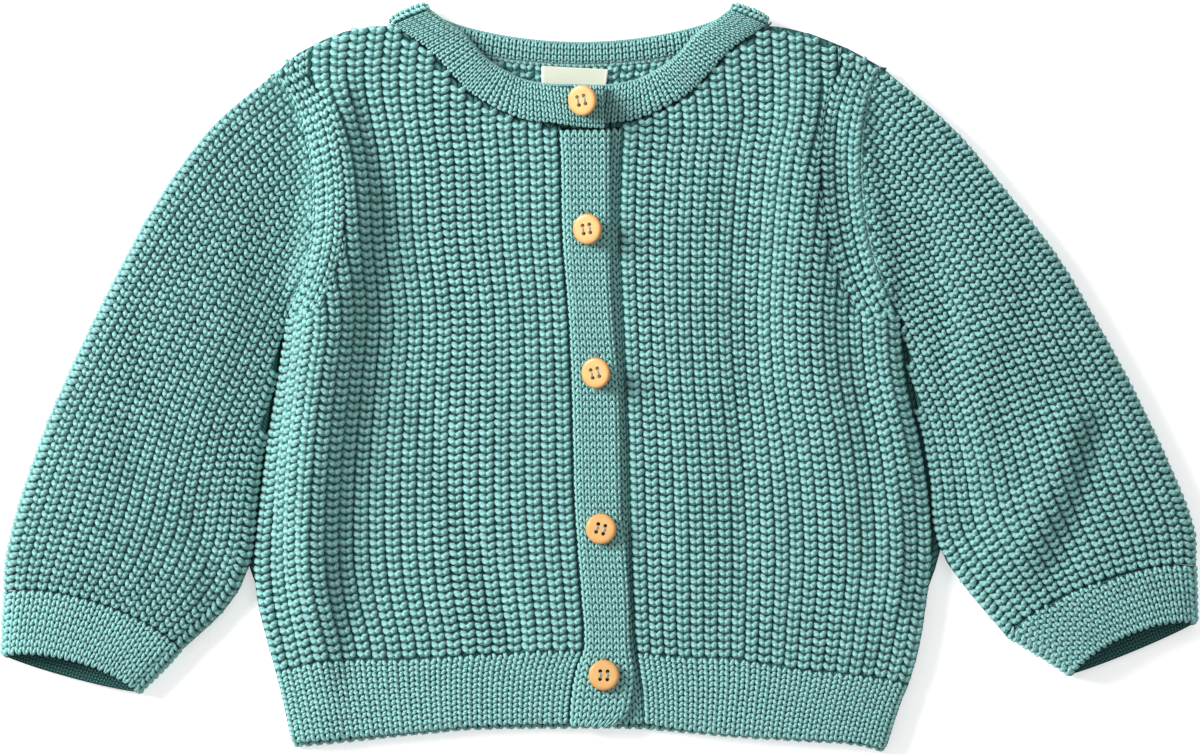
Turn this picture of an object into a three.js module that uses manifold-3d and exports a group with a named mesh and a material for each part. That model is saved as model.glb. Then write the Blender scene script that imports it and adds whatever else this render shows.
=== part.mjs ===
// Baby cardigan in chunky fisherman's rib, buttoned and laid flat with its front side up.
//
// Units are millimetres. +Z is up from the surface that the cardigan lies on, +Y runs from the hem to the
// neck, and +X points to the wearer's left. The origin lies on that surface, under the middle of the garment.
// Every knitted piece is a closed wall: its outer face carries the raised ribs and its inner face is plain.
import * as THREE from "three";
import Module from "manifold-3d";
import { mergeVertices } from "three/addons/utils/BufferGeometryUtils.js";

// Cloth and how its layers lie.
const knitWall = 3.0; // fisherman's rib, measured in the grooves
const bandWall = 2.6; // the flat-knit button bands
const ribRise = 1.1; // how far a rib stands over its grooves
const fineRibRise = 0.7; // the closer ribs of hem and cuffs
const layerGap = 0.4; // air between two layers that lie on each other
const seamGap = 0.6; // between two pieces at a seam, from edge to edge in plan
const armholeGap = 1.3; // the same round a sleeve's joint
const bandGap = 1.0; // the same along a button band
const foldRoll = 7.0; // how far in from a folded or seamed side the cloth rolls down
const edgeLip = 0.9; // thickness of a front at its side seam
const innerShare = 0.68; // how much of a fold's rise its inner face follows
const torsoPuff = 1.2; // how far the fronts stand off the back
const rollHeight = 4.4; // height of a sleeve's folded sides above the surface
const armholeSquare = 0.35; // 0 makes the armhole a parabola, more makes its ends squarer

// The right front is the left one in a view from above, with the buttonhole band on top.
const hands = {
  right: {
    sign: 1,
    ribs: 21,
    hemRibs: 28,
    shoulder: [
      { x: -130.4, y: 121.2 },
      { x: -120.8, y: 129.6 },
      { x: -102.0, y: 138.4 },
    ],
    // Left and right edge of the front panel, from the shoulder down to the hem's lower edge.
    panel: [
      { y: 145, side: -156, band: -6 },
      { y: 119, side: -156, band: -11 },
      { y: 101, side: -143, band: -15.9 },
      { y: 87, side: -137, band: -15.6 },
      { y: 57, side: -132, band: -15 },
      { y: 25, side: -125.6, band: -12.6 },
      { y: -1, side: -129, band: -11.4 },
      { y: -25, side: -133, band: -10.8 },
      { y: -49, side: -136, band: -10.2 },
      { y: -73, side: -138.2, band: -8.6 },
      { y: -89, side: -137, band: -7.3 },
      { y: -108, side: -132.5, band: -6.4 },
      { y: -118, side: -129.6, band: -9.8 },
      { y: -131, side: -126.4, band: -11.8 },
      { y: -148, side: -122.8, band: -12.4 },
    ],
    // Stations down the sleeve: its outer fold, its inner fold beside the body, how far the line between
    // them bows towards the body, and how far the upper layer stands off the lower one.
    sleeve: [
      { t: 0, outerX: -130.4, outerY: 121.2, innerX: -125.6, innerY: 25, bow: 14.4, lift: 1.5 },
      { t: 1, outerX: -156, outerY: 98.8, innerX: -127.2, innerY: 12.8, bow: 7, lift: 4 },
      { t: 2, outerX: -177.6, outerY: 68.8, innerX: -128.8, innerY: -1, bow: 3, lift: 6 },
      { t: 3, outerX: -194, outerY: 38.8, innerX: -131.2, innerY: -15, bow: 1, lift: 7.2 },
      { t: 4, outerX: -208.8, outerY: 8.8, innerX: -133.8, innerY: -31, bow: 1, lift: 7.4 },
      { t: 5, outerX: -222, outerY: -21.2, innerX: -136.4, innerY: -51, bow: 2, lift: 7.4 },
      { t: 6, outerX: -232.4, outerY: -51.2, innerX: -139, innerY: -74, bow: 3.5, lift: 7.4 },
      { t: 7, outerX: -237.6, outerY: -73.2, innerX: -149.6, innerY: -92.8, bow: 5.5, lift: 7.2 },
      { t: 8, outerX: -238.2, outerY: -86, innerX: -166.8, innerY: -109.2, bow: 7.8, lift: 7.2 },
    ],
    // The cuff: its bow is given apart for the upper and the lower layer, which parts them at the mouth.
    cuff: [
      { t: 0, outerX: -238.2, outerY: -86.7, innerX: -167.2, innerY: -109.8, bow: 7.8, under: 7.8, lift: 7.2 },
      { t: 1, outerX: -238.8, outerY: -99, innerX: -175.6, innerY: -118.4, bow: 6.6, under: 3, lift: 7.2 },
      { t: 2, outerX: -239.2, outerY: -111.6, innerX: -184, innerY: -126.6, bow: 6, under: -1.6, lift: 7.4 },
    ],
  },
  left: {
    sign: -1,
    ribs: 21,
    hemRibs: 26,
    shoulder: [
      { x: 112.8, y: 124 },
      { x: 100, y: 131.2 },
      { x: 84, y: 137.6 },
    ],
    panel: [
      { y: 145, side: 139.6, band: 2.4 },
      { y: 119, side: 139.6, band: 5 },
      { y: 101, side: 133.5, band: 9 },
      { y: 87, side: 128.8, band: 8.6 },
      { y: 57, side: 124, band: 8 },
      { y: 25, side: 120.4, band: 9.2 },
      { y: -1, side: 122, band: 10.4 },
      { y: -25, side: 127.6, band: 11.4 },
      { y: -49, side: 131.6, band: 12 },
      { y: -73, side: 132.8, band: 12.6 },
      { y: -89, side: 131, band: 13.2 },
      { y: -108, side: 128, band: 14.4 },
      { y: -121, side: 124.4, band: 16.4 },
      { y: -131, side: 120.4, band: 17.4 },
      { y: -151, side: 114, band: 18 },
    ],
    sleeve: [
      { t: 0, outerX: 112.8, outerY: 124, innerX: 120.4, innerY: 25, bow: 11.6, lift: 1.5 },
      { t: 1, outerX: 142, outerY: 98.8, innerX: 121.8, innerY: 16, bow: 6, lift: 4 },
      { t: 2, outerX: 164, outerY: 72.8, innerX: 123.2, innerY: 4, bow: 3, lift: 6 },
      { t: 3, outerX: 182.8, outerY: 48.8, innerX: 125.6, innerY: -9, bow: 1, lift: 7.2 },
      { t: 4, outerX: 200.8, outerY: 18.8, innerX: 128.4, innerY: -23, bow: 1, lift: 7.4 },
      { t: 5, outerX: 216.8, outerY: -11.2, innerX: 131.6, innerY: -41, bow: 2, lift: 7.4 },
      { t: 6, outerX: 230.8, outerY: -41.2, innerX: 134.2, innerY: -65, bow: 3.5, lift: 7.4 },
      { t: 7, outerX: 238, outerY: -61.2, innerX: 145.6, innerY: -83.2, bow: 5.5, lift: 7.2 },
      { t: 8, outerX: 238.8, outerY: -75.6, innerX: 162.2, innerY: -103.2, bow: 7.8, lift: 7.2 },
    ],
    cuff: [
      { t: 0, outerX: 238.8, outerY: -76.3, innerX: 162.6, innerY: -103.8, bow: 7.8, under: 7.8, lift: 7.2 },
      { t: 1, outerX: 239, outerY: -87.2, innerX: 175.2, innerY: -111.2, bow: 7, under: 3.4, lift: 7.2 },
      { t: 2, outerX: 239.2, outerY: -98.4, innerX: 188, innerY: -119.6, bow: 6.6, under: -1.2, lift: 7.4 },
    ],
  },
};

// The line where the body's rib changes to the hem's, and the lower edges of front and back hem.
const hemLine = [
  { x: -140, top: -118.4, front: -147, back: -149 },
  { x: -128.5, top: -117.6, front: -146.4, back: -148.4 },
  { x: -110.4, top: -113.6, front: -144.8, back: -146.8 },
  { x: -74.8, top: -112.8, front: -141.6, back: -143.2 },
  { x: -50, top: -111.2, front: -139.2, back: -141 },
  { x: -7.2, top: -109.2, front: -138, back: -140.4 },
  { x: 14.4, top: -110, front: -137.6, back: -140.6 },
  { x: 31.6, top: -112, front: -140.4, back: -142 },
  { x: 54, top: -112.8, front: -142.8, back: -144 },
  { x: 79.2, top: -116.8, front: -144.4, back: -145.6 },
  { x: 102.8, top: -119.2, front: -145.6, back: -147.2 },
  { x: 116.4, top: -121.2, front: -148.8, back: -150.4 },
  { x: 126, top: -124, front: -149.2, back: -150.6 },
];

// Soft folds of the two fronts: a ridge has a positive rise and a trough a negative one.
const folds = [
  { fromX: -110, fromY: 107, viaX: -118, viaY: 19, toX: -119, toY: -93, rise: 4.2, reach: 9 },
  { fromX: -82, fromY: 99, viaX: -75, viaY: 35, toX: -91, toY: -57, rise: -0.9, reach: 9 },
  { fromX: -68, fromY: -17, viaX: -58, viaY: -55, toX: -48, toY: -97, rise: -0.8, reach: 8 },
  { fromX: 95, fromY: 107, viaX: 87, viaY: 60, toX: 104, toY: -40, rise: 2.2, reach: 13 },
  { fromX: 50, fromY: 60, viaX: 56, viaY: -5, toX: 58, toY: -82, rise: -0.8, reach: 8 },
];

// The neckband, from the fold at the shoulder to the front centre, as distances from the neck's middle.
const neckX = -7.8;
const neckFront = [
  { k: 0, seamX: 74.6, seamY: 140.6, freeX: 60.2, freeY: 146.5, z: 7.3, thick: 4.4 },
  { k: 1, seamX: 68.2, seamY: 136.4, freeX: 53.8, freeY: 141.6, z: 7.4, thick: 4.6 },
  { k: 2, seamX: 59, seamY: 129.6, freeX: 46.6, freeY: 136.6, z: 7.4, thick: 4.8 },
  { k: 3, seamX: 49.8, seamY: 119.4, freeX: 39.2, freeY: 128.4, z: 7.4, thick: 4.8 },
  { k: 4, seamX: 41, seamY: 111.6, freeX: 32.2, freeY: 123.2, z: 7.4, thick: 4.8 },
  { k: 5, seamX: 24.2, seamY: 103.4, freeX: 23, freeY: 118.6, z: 7.4, thick: 4.6 },
  { k: 6, seamX: 10.6, seamY: 101.2, freeX: 12.6, freeY: 116.6, z: 7.4, thick: 4.2 },
  { k: 7, seamX: 0, seamY: 99.6, freeX: 0.6, freeY: 116.4, z: 7.4, thick: 3.8 },
  { k: 8, seamX: -10, seamY: 99, freeX: -9.4, freeY: 116, z: 7.4, thick: 3.6 },
];
const neckBack = [
  { k: 0, seamX: 74.6, seamY: 140.6, freeX: 60.2, freeY: 146.5, z: 2.3, thick: 4.4 },
  { k: 1, seamX: 60.2, seamY: 135.4, freeX: 55.4, freeY: 143, z: 2.3, thick: 4.4 },
  { k: 2, seamX: 46.6, seamY: 131, freeX: 45, freeY: 139.4, z: 2.4, thick: 4.4 },
  { k: 3, seamX: 29.8, seamY: 127.4, freeX: 29, freeY: 136, z: 2.4, thick: 4.4 },
  { k: 4, seamX: 14.2, seamY: 125.8, freeX: 13.8, freeY: 134.2, z: 2.4, thick: 4.4 },
  { k: 5, seamX: 0, seamY: 125.2, freeX: 0, freeY: 133.6, z: 2.4, thick: 4.4 },
];
const neckWale = 2.6; // width of one rib of the neckband
const neckWaleRise = 0.45;
const neckFoldRadius = 2.5;
const overlapRise = 3.1; // how far the upper end of the neckband climbs over the lower end

// The upper, buttonhole band: its free edge, and how its underside climbs towards the neckband.
const buttonholeBand = [
  { y: 98.2, right: 4, z: 8.2 },
  { y: 84, right: 4, z: 7.2 },
  { y: 72.4, right: 4, z: 6.7 },
  { y: 40.4, right: 4.2, z: 6.6 },
  { y: 21.2, right: 5.2, z: 6.6 },
  { y: -4, right: 7.4, z: 6.6 },
  { y: -21.2, right: 8, z: 6.6 },
  { y: -55.2, right: 8.6, z: 6.6 },
  { y: -69.2, right: 10.2, z: 6.6 },
  { y: -90.4, right: 11.6, z: 6.6 },
  { y: -108, right: 12, z: 6.6 },
  { y: -118.4, right: 13.4, z: 6.6 },
  { y: -129.2, right: 12.4, z: 6.6 },
  { y: -136, right: 10.4, z: 6.6 },
  { y: -139.4, right: 6, z: 6.6 },
];
const buttonBandWidth = 18.4;
const buttonBand = [
  { y: 98.2, z: 4.2 },
  { y: 82, z: 3.5 },
  { y: -138.6, z: 3.5 },
];

// Buttons: where each one sits, how far it tips towards the wearer's right, and how its four holes are turned.
const buttonRadius = 6.15;
const buttonThickness = 2.4;
const holeRadius = 0.62;
const holeSpacing = { x: 2.7, y: 3.3 };
const shankRadius = 1.25;
const buttonholeLength = 13.0;
const buttonholeWidth = 3.4;
const buttons = [
  { name: "button_1", x: -6.8, y: 109.9, top: 12.4, under: 8.6, tip: 24, turn: 12, across: true },
  { name: "button_2", x: -4.8, y: 58.8, top: 9.3, under: 6.3, tip: 22, turn: 8, across: false },
  { name: "button_3", x: -1.4, y: 1.4, top: 9.3, under: 6.3, tip: 22, turn: 14, across: false },
  { name: "button_4", x: 0.6, y: -60.8, top: 9.3, under: 6.3, tip: 4, turn: -15, across: false },
  { name: "button_5", x: 1.8, y: -119.2, top: 9.3, under: 6.3, tip: 2, turn: -2, across: false },
];

const label = { left: -23.2, right: 3.6, top: 124.4, height: 14.0, thick: 0.6, skew: -1.4 };

const cottonTeal = { color: 0x6aa6a0, roughness: 0.92, metalness: 0 };
const woodYellow = { color: 0xe9b96a, roughness: 0.5, metalness: 0 };
const labelCream = { color: 0xdfe3d0, roughness: 0.8, metalness: 0 };

const clamp = (v, low = 0, high = 1) => Math.min(high, Math.max(low, v));
const mix = (a, b, t) => a + (b - a) * t;

// Reads one column of a table at a value of its key column, on a smooth curve through the rows.
function read(rows, key, column, at) {
  const last = rows.length - 1;
  const way = Math.sign(rows[last][key] - rows[0][key]);
  let i = 0;
  while (i < last - 1 && (at - rows[i + 1][key]) * way > 0) i++;
  const slope = (p, q) => (rows[q][column] - rows[p][column]) / (rows[q][key] - rows[p][key]);
  const span = rows[i + 1][key] - rows[i][key];
  const startSlope = slope(Math.max(i - 1, 0), i + 1) * span;
  const endSlope = slope(i, Math.min(i + 2, last)) * span;
  const t = clamp((at - rows[i][key]) / span);
  const rise = rows[i + 1][column] - rows[i][column];
  return rows[i][column] + t * (startSlope + t * (3 * rise - 2 * startSlope - endSlope
    + t * (startSlope + endSlope - 2 * rise)));
}

// A quarter-round from 0 at an edge to 1 at the given radius in from it.
const rollDown = (distance, radius) => Math.sqrt(1 - (1 - clamp(distance / radius)) ** 2);

// Distance in plan from a point to a chain of points.
function distanceTo(chain, x, y) {
  let least = Infinity;
  for (let i = 0; i + 1 < chain.length; i++) {
    const [ax, ay] = chain[i];
    const [bx, by] = chain[i + 1];
    const length2 = (bx - ax) ** 2 + (by - ay) ** 2;
    const t = clamp(((x - ax) * (bx - ax) + (y - ay) * (by - ay)) / length2);
    least = Math.min(least, Math.hypot(x - mix(ax, bx, t), y - mix(ay, by, t)));
  }
  return least;
}

// How far the fronts stand off the back at a point, from the puff and the folds.
function torsoLift(x, y) {
  let lift = torsoPuff;
  for (const f of folds) {
    const d = distanceTo([[f.fromX, f.fromY], [f.viaX, f.viaY], [f.toX, f.toY]], x, y);
    lift += f.rise * Math.exp(-((d / f.reach) ** 2));
  }
  return lift;
}

// A point of a sleeve's or cuff's layer: s runs from the outer fold to the inner one, t down the stations.
function layerPoint(rows, sign, s, t, bowColumn = "bow") {
  const u2 = (2 * s - 1) ** 2;
  const ox = read(rows, "t", "outerX", t);
  const oy = read(rows, "t", "outerY", t);
  const dx = read(rows, "t", "innerX", t) - ox;
  const dy = read(rows, "t", "innerY", t) - oy;
  const width = Math.hypot(dx, dy);
  const bow = read(rows, "t", bowColumn, t) * (1 - u2) * (1 + armholeSquare * u2) * sign;
  return { x: ox + dx * s - (dy / width) * bow, y: oy + dy * s + (dx / width) * bow, width };
}

// The side of the body at a height: its side seam, and the armhole above it.
function bodyEdge(hand, y) {
  const { sleeve, sign } = hand;
  if (y <= sleeve[0].innerY) return read(hand.panel, "y", "side", y) + sign * seamGap * 0.5;
  let low = 0;
  let high = 1;
  for (let i = 0; i < 24; i++) {
    const s = (low + high) / 2;
    if (layerPoint(sleeve, sign, s, 0).y > y) low = s;
    else high = s;
  }
  return layerPoint(sleeve, sign, low, 0).x + sign * armholeGap;
}

// Chains in plan that the cloth rolls down to: the side seam and the shoulder.
function rolledEdges(hand) {
  const side = hand.panel.filter((row) => row.y < 25).map((row) => [row.side, row.y]);
  side.unshift([hand.sleeve[0].innerX, hand.sleeve[0].innerY]);
  const shoulder = hand.shoulder.map((row) => [row.x, row.y]);
  shoulder.push([neckX - hand.sign * neckFront[0].seamX, neckFront[0].seamY + 1]);
  return [side, shoulder];
}

// Heights of a front's outer face, without its ribs, and of its inner face.
function frontHeights(x, y, edges, wall) {
  const d = Math.min(...edges.map((chain) => distanceTo(chain, x, y)));
  const lift = torsoLift(x, y);
  const seat = knitWall + layerGap;
  const outer = mix(seat + edgeLip, seat + wall + lift, rollDown(d, foldRoll));
  const inner = seat + innerShare * lift * rollDown(Math.max(0, d - 1.5), foldRoll);
  return { outer, inner: Math.min(inner, outer - edgeLip * 0.8), roll: rollDown(d, foldRoll) };
}

// A height that a line gives at the x which another rule gives for that height.
function heightOn(column, shift, xAt, start) {
  let y = start;
  for (let i = 0; i < 6; i++) y = read(hemLine, "x", column, xAt(y)) + shift;
  return y;
}

// Fills the strip between two chains of vertex numbers that run the same way.
function zip(points, outer, inner, flip, faces) {
  let o = 0;
  let i = 0;
  while (o < outer.length - 1 || i < inner.length - 1) {
    const nextOuter = o < outer.length - 1
      ? points[outer[o + 1]].distanceTo(points[inner[i]]) : Infinity;
    const nextInner = i < inner.length - 1
      ? points[outer[o]].distanceTo(points[inner[i + 1]]) : Infinity;
    const face = nextOuter <= nextInner
      ? [outer[o], outer[++o], inner[i]] : [outer[o], inner[i + 1], inner[i++]];
    faces.push(flip ? [face[1], face[0], face[2]] : face);
  }
}

// A geometry from points and triangles, turned so that its faces point out.
function closedGeometry(points, faces) {
  let volume = 0;
  for (const [a, b, c] of faces) volume += points[a].dot(points[b].clone().cross(points[c]));
  const index = faces.flatMap(([a, b, c]) => (volume < 0 ? [a, c, b] : [a, b, c]));
  const geometry = new THREE.BufferGeometry().setFromPoints(points);
  geometry.setIndex(index);
  geometry.computeVertexNormals();
  return geometry;
}

// A wall with a rim all round, from rows that each hold an outer and an inner chain of points.
function slab(rows) {
  const points = rows.flatMap((row) => [...row.outer, ...[...row.inner].reverse()]);
  const size = rows[0].outer.length + rows[0].inner.length;
  const faces = [];
  for (let r = 0; r + 1 < rows.length; r++) {
    for (let k = 0; k < size; k++) {
      const a = r * size + k;
      const b = r * size + ((k + 1) % size);
      faces.push([a, b, b + size], [a, b + size, a + size]);
    }
  }
  for (const r of [0, rows.length - 1]) {
    const outer = rows[r].outer.map((_, k) => r * size + k);
    const inner = rows[r].inner.map((_, k) => (r + 1) * size - 1 - k);
    zip(points, outer, inner, r === 0, faces);
  }
  return closedGeometry(points, faces);
}

// An open tube with a wall, from rows that each hold a closed outer and a closed inner ring.
function tube(rows) {
  const outerSize = rows[0].outer.length;
  const innerSize = rows[0].inner.length;
  const points = [...rows.flatMap((row) => row.outer), ...rows.flatMap((row) => row.inner)];
  const innerStart = rows.length * outerSize;
  const faces = [];
  const skin = (start, size, flip) => {
    for (let r = 0; r + 1 < rows.length; r++) {
      for (let k = 0; k < size; k++) {
        const a = start + r * size + k;
        const b = start + r * size + ((k + 1) % size);
        const pair = [[a, b, b + size], [a, b + size, a + size]];
        faces.push(...(flip ? pair.map(([p, q, u]) => [q, p, u]) : pair));
      }
    }
  };
  skin(0, outerSize, false);
  skin(innerStart, innerSize, true);
  for (const r of [0, rows.length - 1]) {
    const outer = rows[r].outer.map((_, k) => r * outerSize + k);
    const inner = rows[r].inner.map((_, k) => innerStart + r * innerSize + k);
    zip(points, [...outer, outer[0]], [...inner, inner[0]], r === 0, faces);
  }
  return closedGeometry(points, faces);
}

// The upper edge of a front: its shoulder, then the neckband's seam, as rows of x and y.
function topLine(hand) {
  const neck = neckFront.slice(0, 8).map((row) => ({ x: neckX - hand.sign * row.seamX, y: row.seamY }));
  return [...hand.shoulder, ...neck];
}

// A front panel. Its ribs run up from the hem; those that meet the armhole end flat along its edge.
function frontPanel(hand) {
  const { sign, ribs } = hand;
  const pinch = 0.7;
  const ribFade = 2.5;
  const lowRows = 7;
  const highRows = 12;
  const line = topLine(hand);
  const edges = rolledEdges(hand);
  const underarm = hand.sleeve[0].innerY;
  const ribX = (s, y) => mix(
    read(hand.panel, "y", "side", y), read(hand.panel, "y", "band", y) - sign * bandGap * 0.5, s);
  const edgeX = (column, y) => bodyEdge(hand, y) + sign * pinch * column;
  const columnX = (s, column, y) => sign * Math.max(ribX(s, y) * sign, edgeX(column, y) * sign);
  const topOf = (s, column) => {
    let low = underarm;
    let high = 146;
    for (let i = 0; i < 24; i++) {
      const y = (low + high) / 2;
      if (read(line, "x", "y", columnX(s, column, y)) - seamGap * 1.6 > y) low = y;
      else high = y;
    }
    return low;
  };
  const bottomOf = (s, column) => heightOn("top", seamGap * 0.5, (y) => columnX(s, column, y), -112);
  const chain = (columns, row, raised) => columns.map(([s, column, rise]) => {
    const easing = (1 - Math.cos((Math.PI * (row - lowRows)) / highRows)) / 2;
    const y = row <= lowRows
      ? mix(bottomOf(s, column), underarm, row / lowRows) : mix(underarm, topOf(s, column), easing);
    const x = columnX(s, column, y);
    const heights = frontHeights(x, y, edges, knitWall);
    const free = y > underarm ? clamp(((ribX(s, y) - edgeX(column, y)) * sign) / ribFade) : 1;
    return new THREE.Vector3(x, y, raised ? heights.outer + rise * heights.roll * free : heights.inner);
  });
  const outerColumns = Array.from({ length: 2 * ribs + 1 }, (_, j) => [
    j / (2 * ribs), j, j % 2 ? ribRise : 0,
  ]);
  const innerColumns = outerColumns.filter((_, j) => j % 5 === 0 || j === 2 * ribs);
  const rows = Array.from({ length: lowRows + highRows + 1 }, (_, row) => ({
    outer: chain(outerColumns, row, true),
    inner: chain(innerColumns, row, false),
  }));
  return slab(rows);
}

// The close rib along the lower edge of a front.
function frontHem(hand) {
  const { sign, hemRibs } = hand;
  const edges = rolledEdges(hand);
  const lastRow = 3;
  const pointAt = (s, row, rise, raised) => {
    const xAt = (y) => mix(read(hand.panel, "y", "side", y), read(hand.panel, "y", "band", y), s)
      + sign * 0.5 * (seamGap * (1 - s) - bandGap * s);
    const y = mix(heightOn("top", -seamGap * 0.5, xAt, -112), heightOn("front", 0, xAt, -144), row / lastRow);
    const x = xAt(y);
    const heights = frontHeights(x, y, edges, knitWall - 0.3);
    return new THREE.Vector3(x, y, raised ? heights.outer + rise * heights.roll : heights.inner);
  };
  const rows = Array.from({ length: lastRow + 1 }, (_, row) => ({
    outer: Array.from({ length: 2 * hemRibs + 1 }, (_, j) =>
      pointAt(j / (2 * hemRibs), row, j % 2 ? fineRibRise : 0, true)),
    inner: Array.from({ length: 9 }, (_, j) => pointAt(j / 8, row, 0, false)),
  }));
  return slab(rows);
}

// One ring round a sleeve or cuff: over the upper layer from the outer fold, and back under it.
function sleeveRing(hand, rows, t, ribs, rise, innerRoll) {
  const { sign } = hand;
  const isCuff = "under" in rows[0];
  const settle = isCuff ? 1 : THREE.MathUtils.smoothstep(t, 0, 1.6);
  const { width } = layerPoint(rows, sign, 0.5, t);
  const dome = (s) => Math.sqrt(Math.sqrt(4 * s * (1 - s)));
  const clearSide = (s) => (isCuff || t > 6.5 ? 0 : -sign * seamGap * s);
  const rollAt = (s, radius) => Math.min(
    rollDown(s * width, radius), rollDown((1 - s) * width, innerRoll * (radius / foldRoll)));
  const upper = (s, bump) => {
    const p = layerPoint(rows, sign, s, t);
    const lift = mix(torsoLift(p.x, p.y), read(rows, "t", "lift", t) * dome(s), settle);
    const full = knitWall + layerGap + knitWall + lift + bump;
    const x = p.x + clearSide(s);
    return { x, y: p.y, z: mix(rollHeight, full, rollAt(s, foldRoll)), lift };
  };
  const under = (s) => {
    const p = layerPoint(rows, sign, s, t, isCuff ? "under" : "bow");
    return { x: p.x + clearSide(s), y: p.y, z: rollHeight * (1 - rollAt(s, 5)) };
  };
  const outer = [];
  for (let j = 0; j <= 2 * ribs; j++) {
    const p = upper(j / (2 * ribs), j % 2 ? rise : 0);
    outer.push(new THREE.Vector3(p.x, p.y, p.z));
  }
  const ends = [1.4 / width, 5 / width];
  for (const s of [1 - ends[0], 1 - ends[1], 0.78, 0.5, 0.22, ends[1], ends[0]]) {
    const p = under(s);
    outer.push(new THREE.Vector3(p.x, p.y, p.z));
  }
  const inset = (knitWall + 0.4) / width;
  const inner = [];
  const inside = (s) => mix(inset, 1 - inset, s);
  for (const s of [0, 0.06, 0.16, 0.33, 0.5, 0.67, 0.84, 0.94, 1]) {
    const p = upper(inside(s), 0);
    const share = rollDown(Math.min(s, 1 - s) * width, foldRoll);
    const z = mix(rollHeight + 0.2, knitWall + layerGap + innerShare * p.lift, share);
    inner.push(new THREE.Vector3(p.x, p.y, z));
  }
  for (const s of [0.94, 0.75, 0.5, 0.25, 0.06]) {
    const p = under(inside(s));
    inner.push(new THREE.Vector3(p.x, p.y, knitWall));
  }
  return { outer, inner };
}

const sleeveRibs = 18;
const cuffRibs = 21;
const innerRolls = { right: 7, left: 15 };

function sleeve(hand, innerRoll) {
  const stations = [0, 0.3, 0.7, 1.2, 1.8, 2.5, 3.3, 4.2, 5.1, 6, 6.7, 7.3, 7.7, 8];
  return tube(stations.map((t) => sleeveRing(hand, hand.sleeve, t, sleeveRibs, ribRise, innerRoll)));
}

function cuff(hand) {
  const stations = [0, 0.7, 1.4, 2];
  return tube(stations.map((t) => sleeveRing(hand, hand.cuff, t, cuffRibs, fineRibRise, foldRoll)));
}

// A flat plate with softened edges, from its outline in plan.
function plate(outline, thick, soften) {
  const shape = new THREE.Shape(outline.map(([x, y]) => new THREE.Vector2(x, y)));
  const geometry = new THREE.ExtrudeGeometry(shape, {
    depth: thick - 2 * soften,
    bevelThickness: soften,
    bevelSize: soften,
    bevelOffset: -soften,
    bevelSegments: 1,
  });
  return geometry.translate(0, 0, soften);
}

// The corner where a side of the back meets a line of the hem, and the line's points between the corners.
function hemCorner(hand, column, shift) {
  const xAt = (y) => read(hand.panel, "y", "side", y) + hand.sign * seamGap * 0.5;
  const y = heightOn(column, shift, xAt, -130);
  return [xAt(y), y];
}

function hemPoints(column, shift) {
  return hemLine.filter((row) => Math.abs(row.x) < 112).map((row) => [row.x, row[column] + shift]);
}

// Points up one side of the back, from the hem to the neckband, on the side of one hand.
function backSide(hand) {
  const side = [];
  const steps = 8;
  const low = hemCorner(hand, "top", seamGap * 0.5)[1];
  const underarm = hand.sleeve[0].innerY;
  for (let i = 0; i < steps; i++) {
    const y = mix(low, underarm, i / steps);
    side.push([bodyEdge(hand, y), y]);
  }
  const armholeSteps = 16;
  for (let i = armholeSteps; i >= 0; i--) {
    const p = layerPoint(hand.sleeve, hand.sign, i / armholeSteps, 0);
    side.push([p.x + hand.sign * armholeGap, p.y]);
  }
  for (const row of hand.shoulder.slice(1)) side.push([row.x, row.y]);
  return side;
}

function backNeck() {
  const rows = neckBack.slice(1);
  const rightHalf = rows.map((row) => [neckX - row.seamX, row.seamY - seamGap]);
  const leftHalf = rows.slice(0, -1).map((row) => [neckX + row.seamX, row.seamY - seamGap]);
  const tip = neckFront[0];
  const corner = (sign) => [neckX - sign * (tip.seamX + 2.4), tip.seamY - 1.4];
  return [corner(1), ...rightHalf, ...leftHalf.reverse(), corner(-1)];
}

function backPanel() {
  const hem = hemPoints("top", seamGap * 0.5).reverse();
  return plate([...backSide(hands.right), ...backNeck(), ...backSide(hands.left).reverse(), ...hem],
    knitWall, 0.8);
}

function backHem() {
  const middle = (hand) => [read(hand.panel, "y", "side", -131) + hand.sign * seamGap * 0.5, -131];
  return plate([
    middle(hands.right), hemCorner(hands.right, "top", -seamGap * 0.5), ...hemPoints("top", -seamGap * 0.5),
    hemCorner(hands.left, "top", -seamGap * 0.5), middle(hands.left), hemCorner(hands.left, "back", 0),
    ...hemPoints("back", 0).reverse(), hemCorner(hands.right, "back", 0),
  ], knitWall, 0.8);
}

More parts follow.
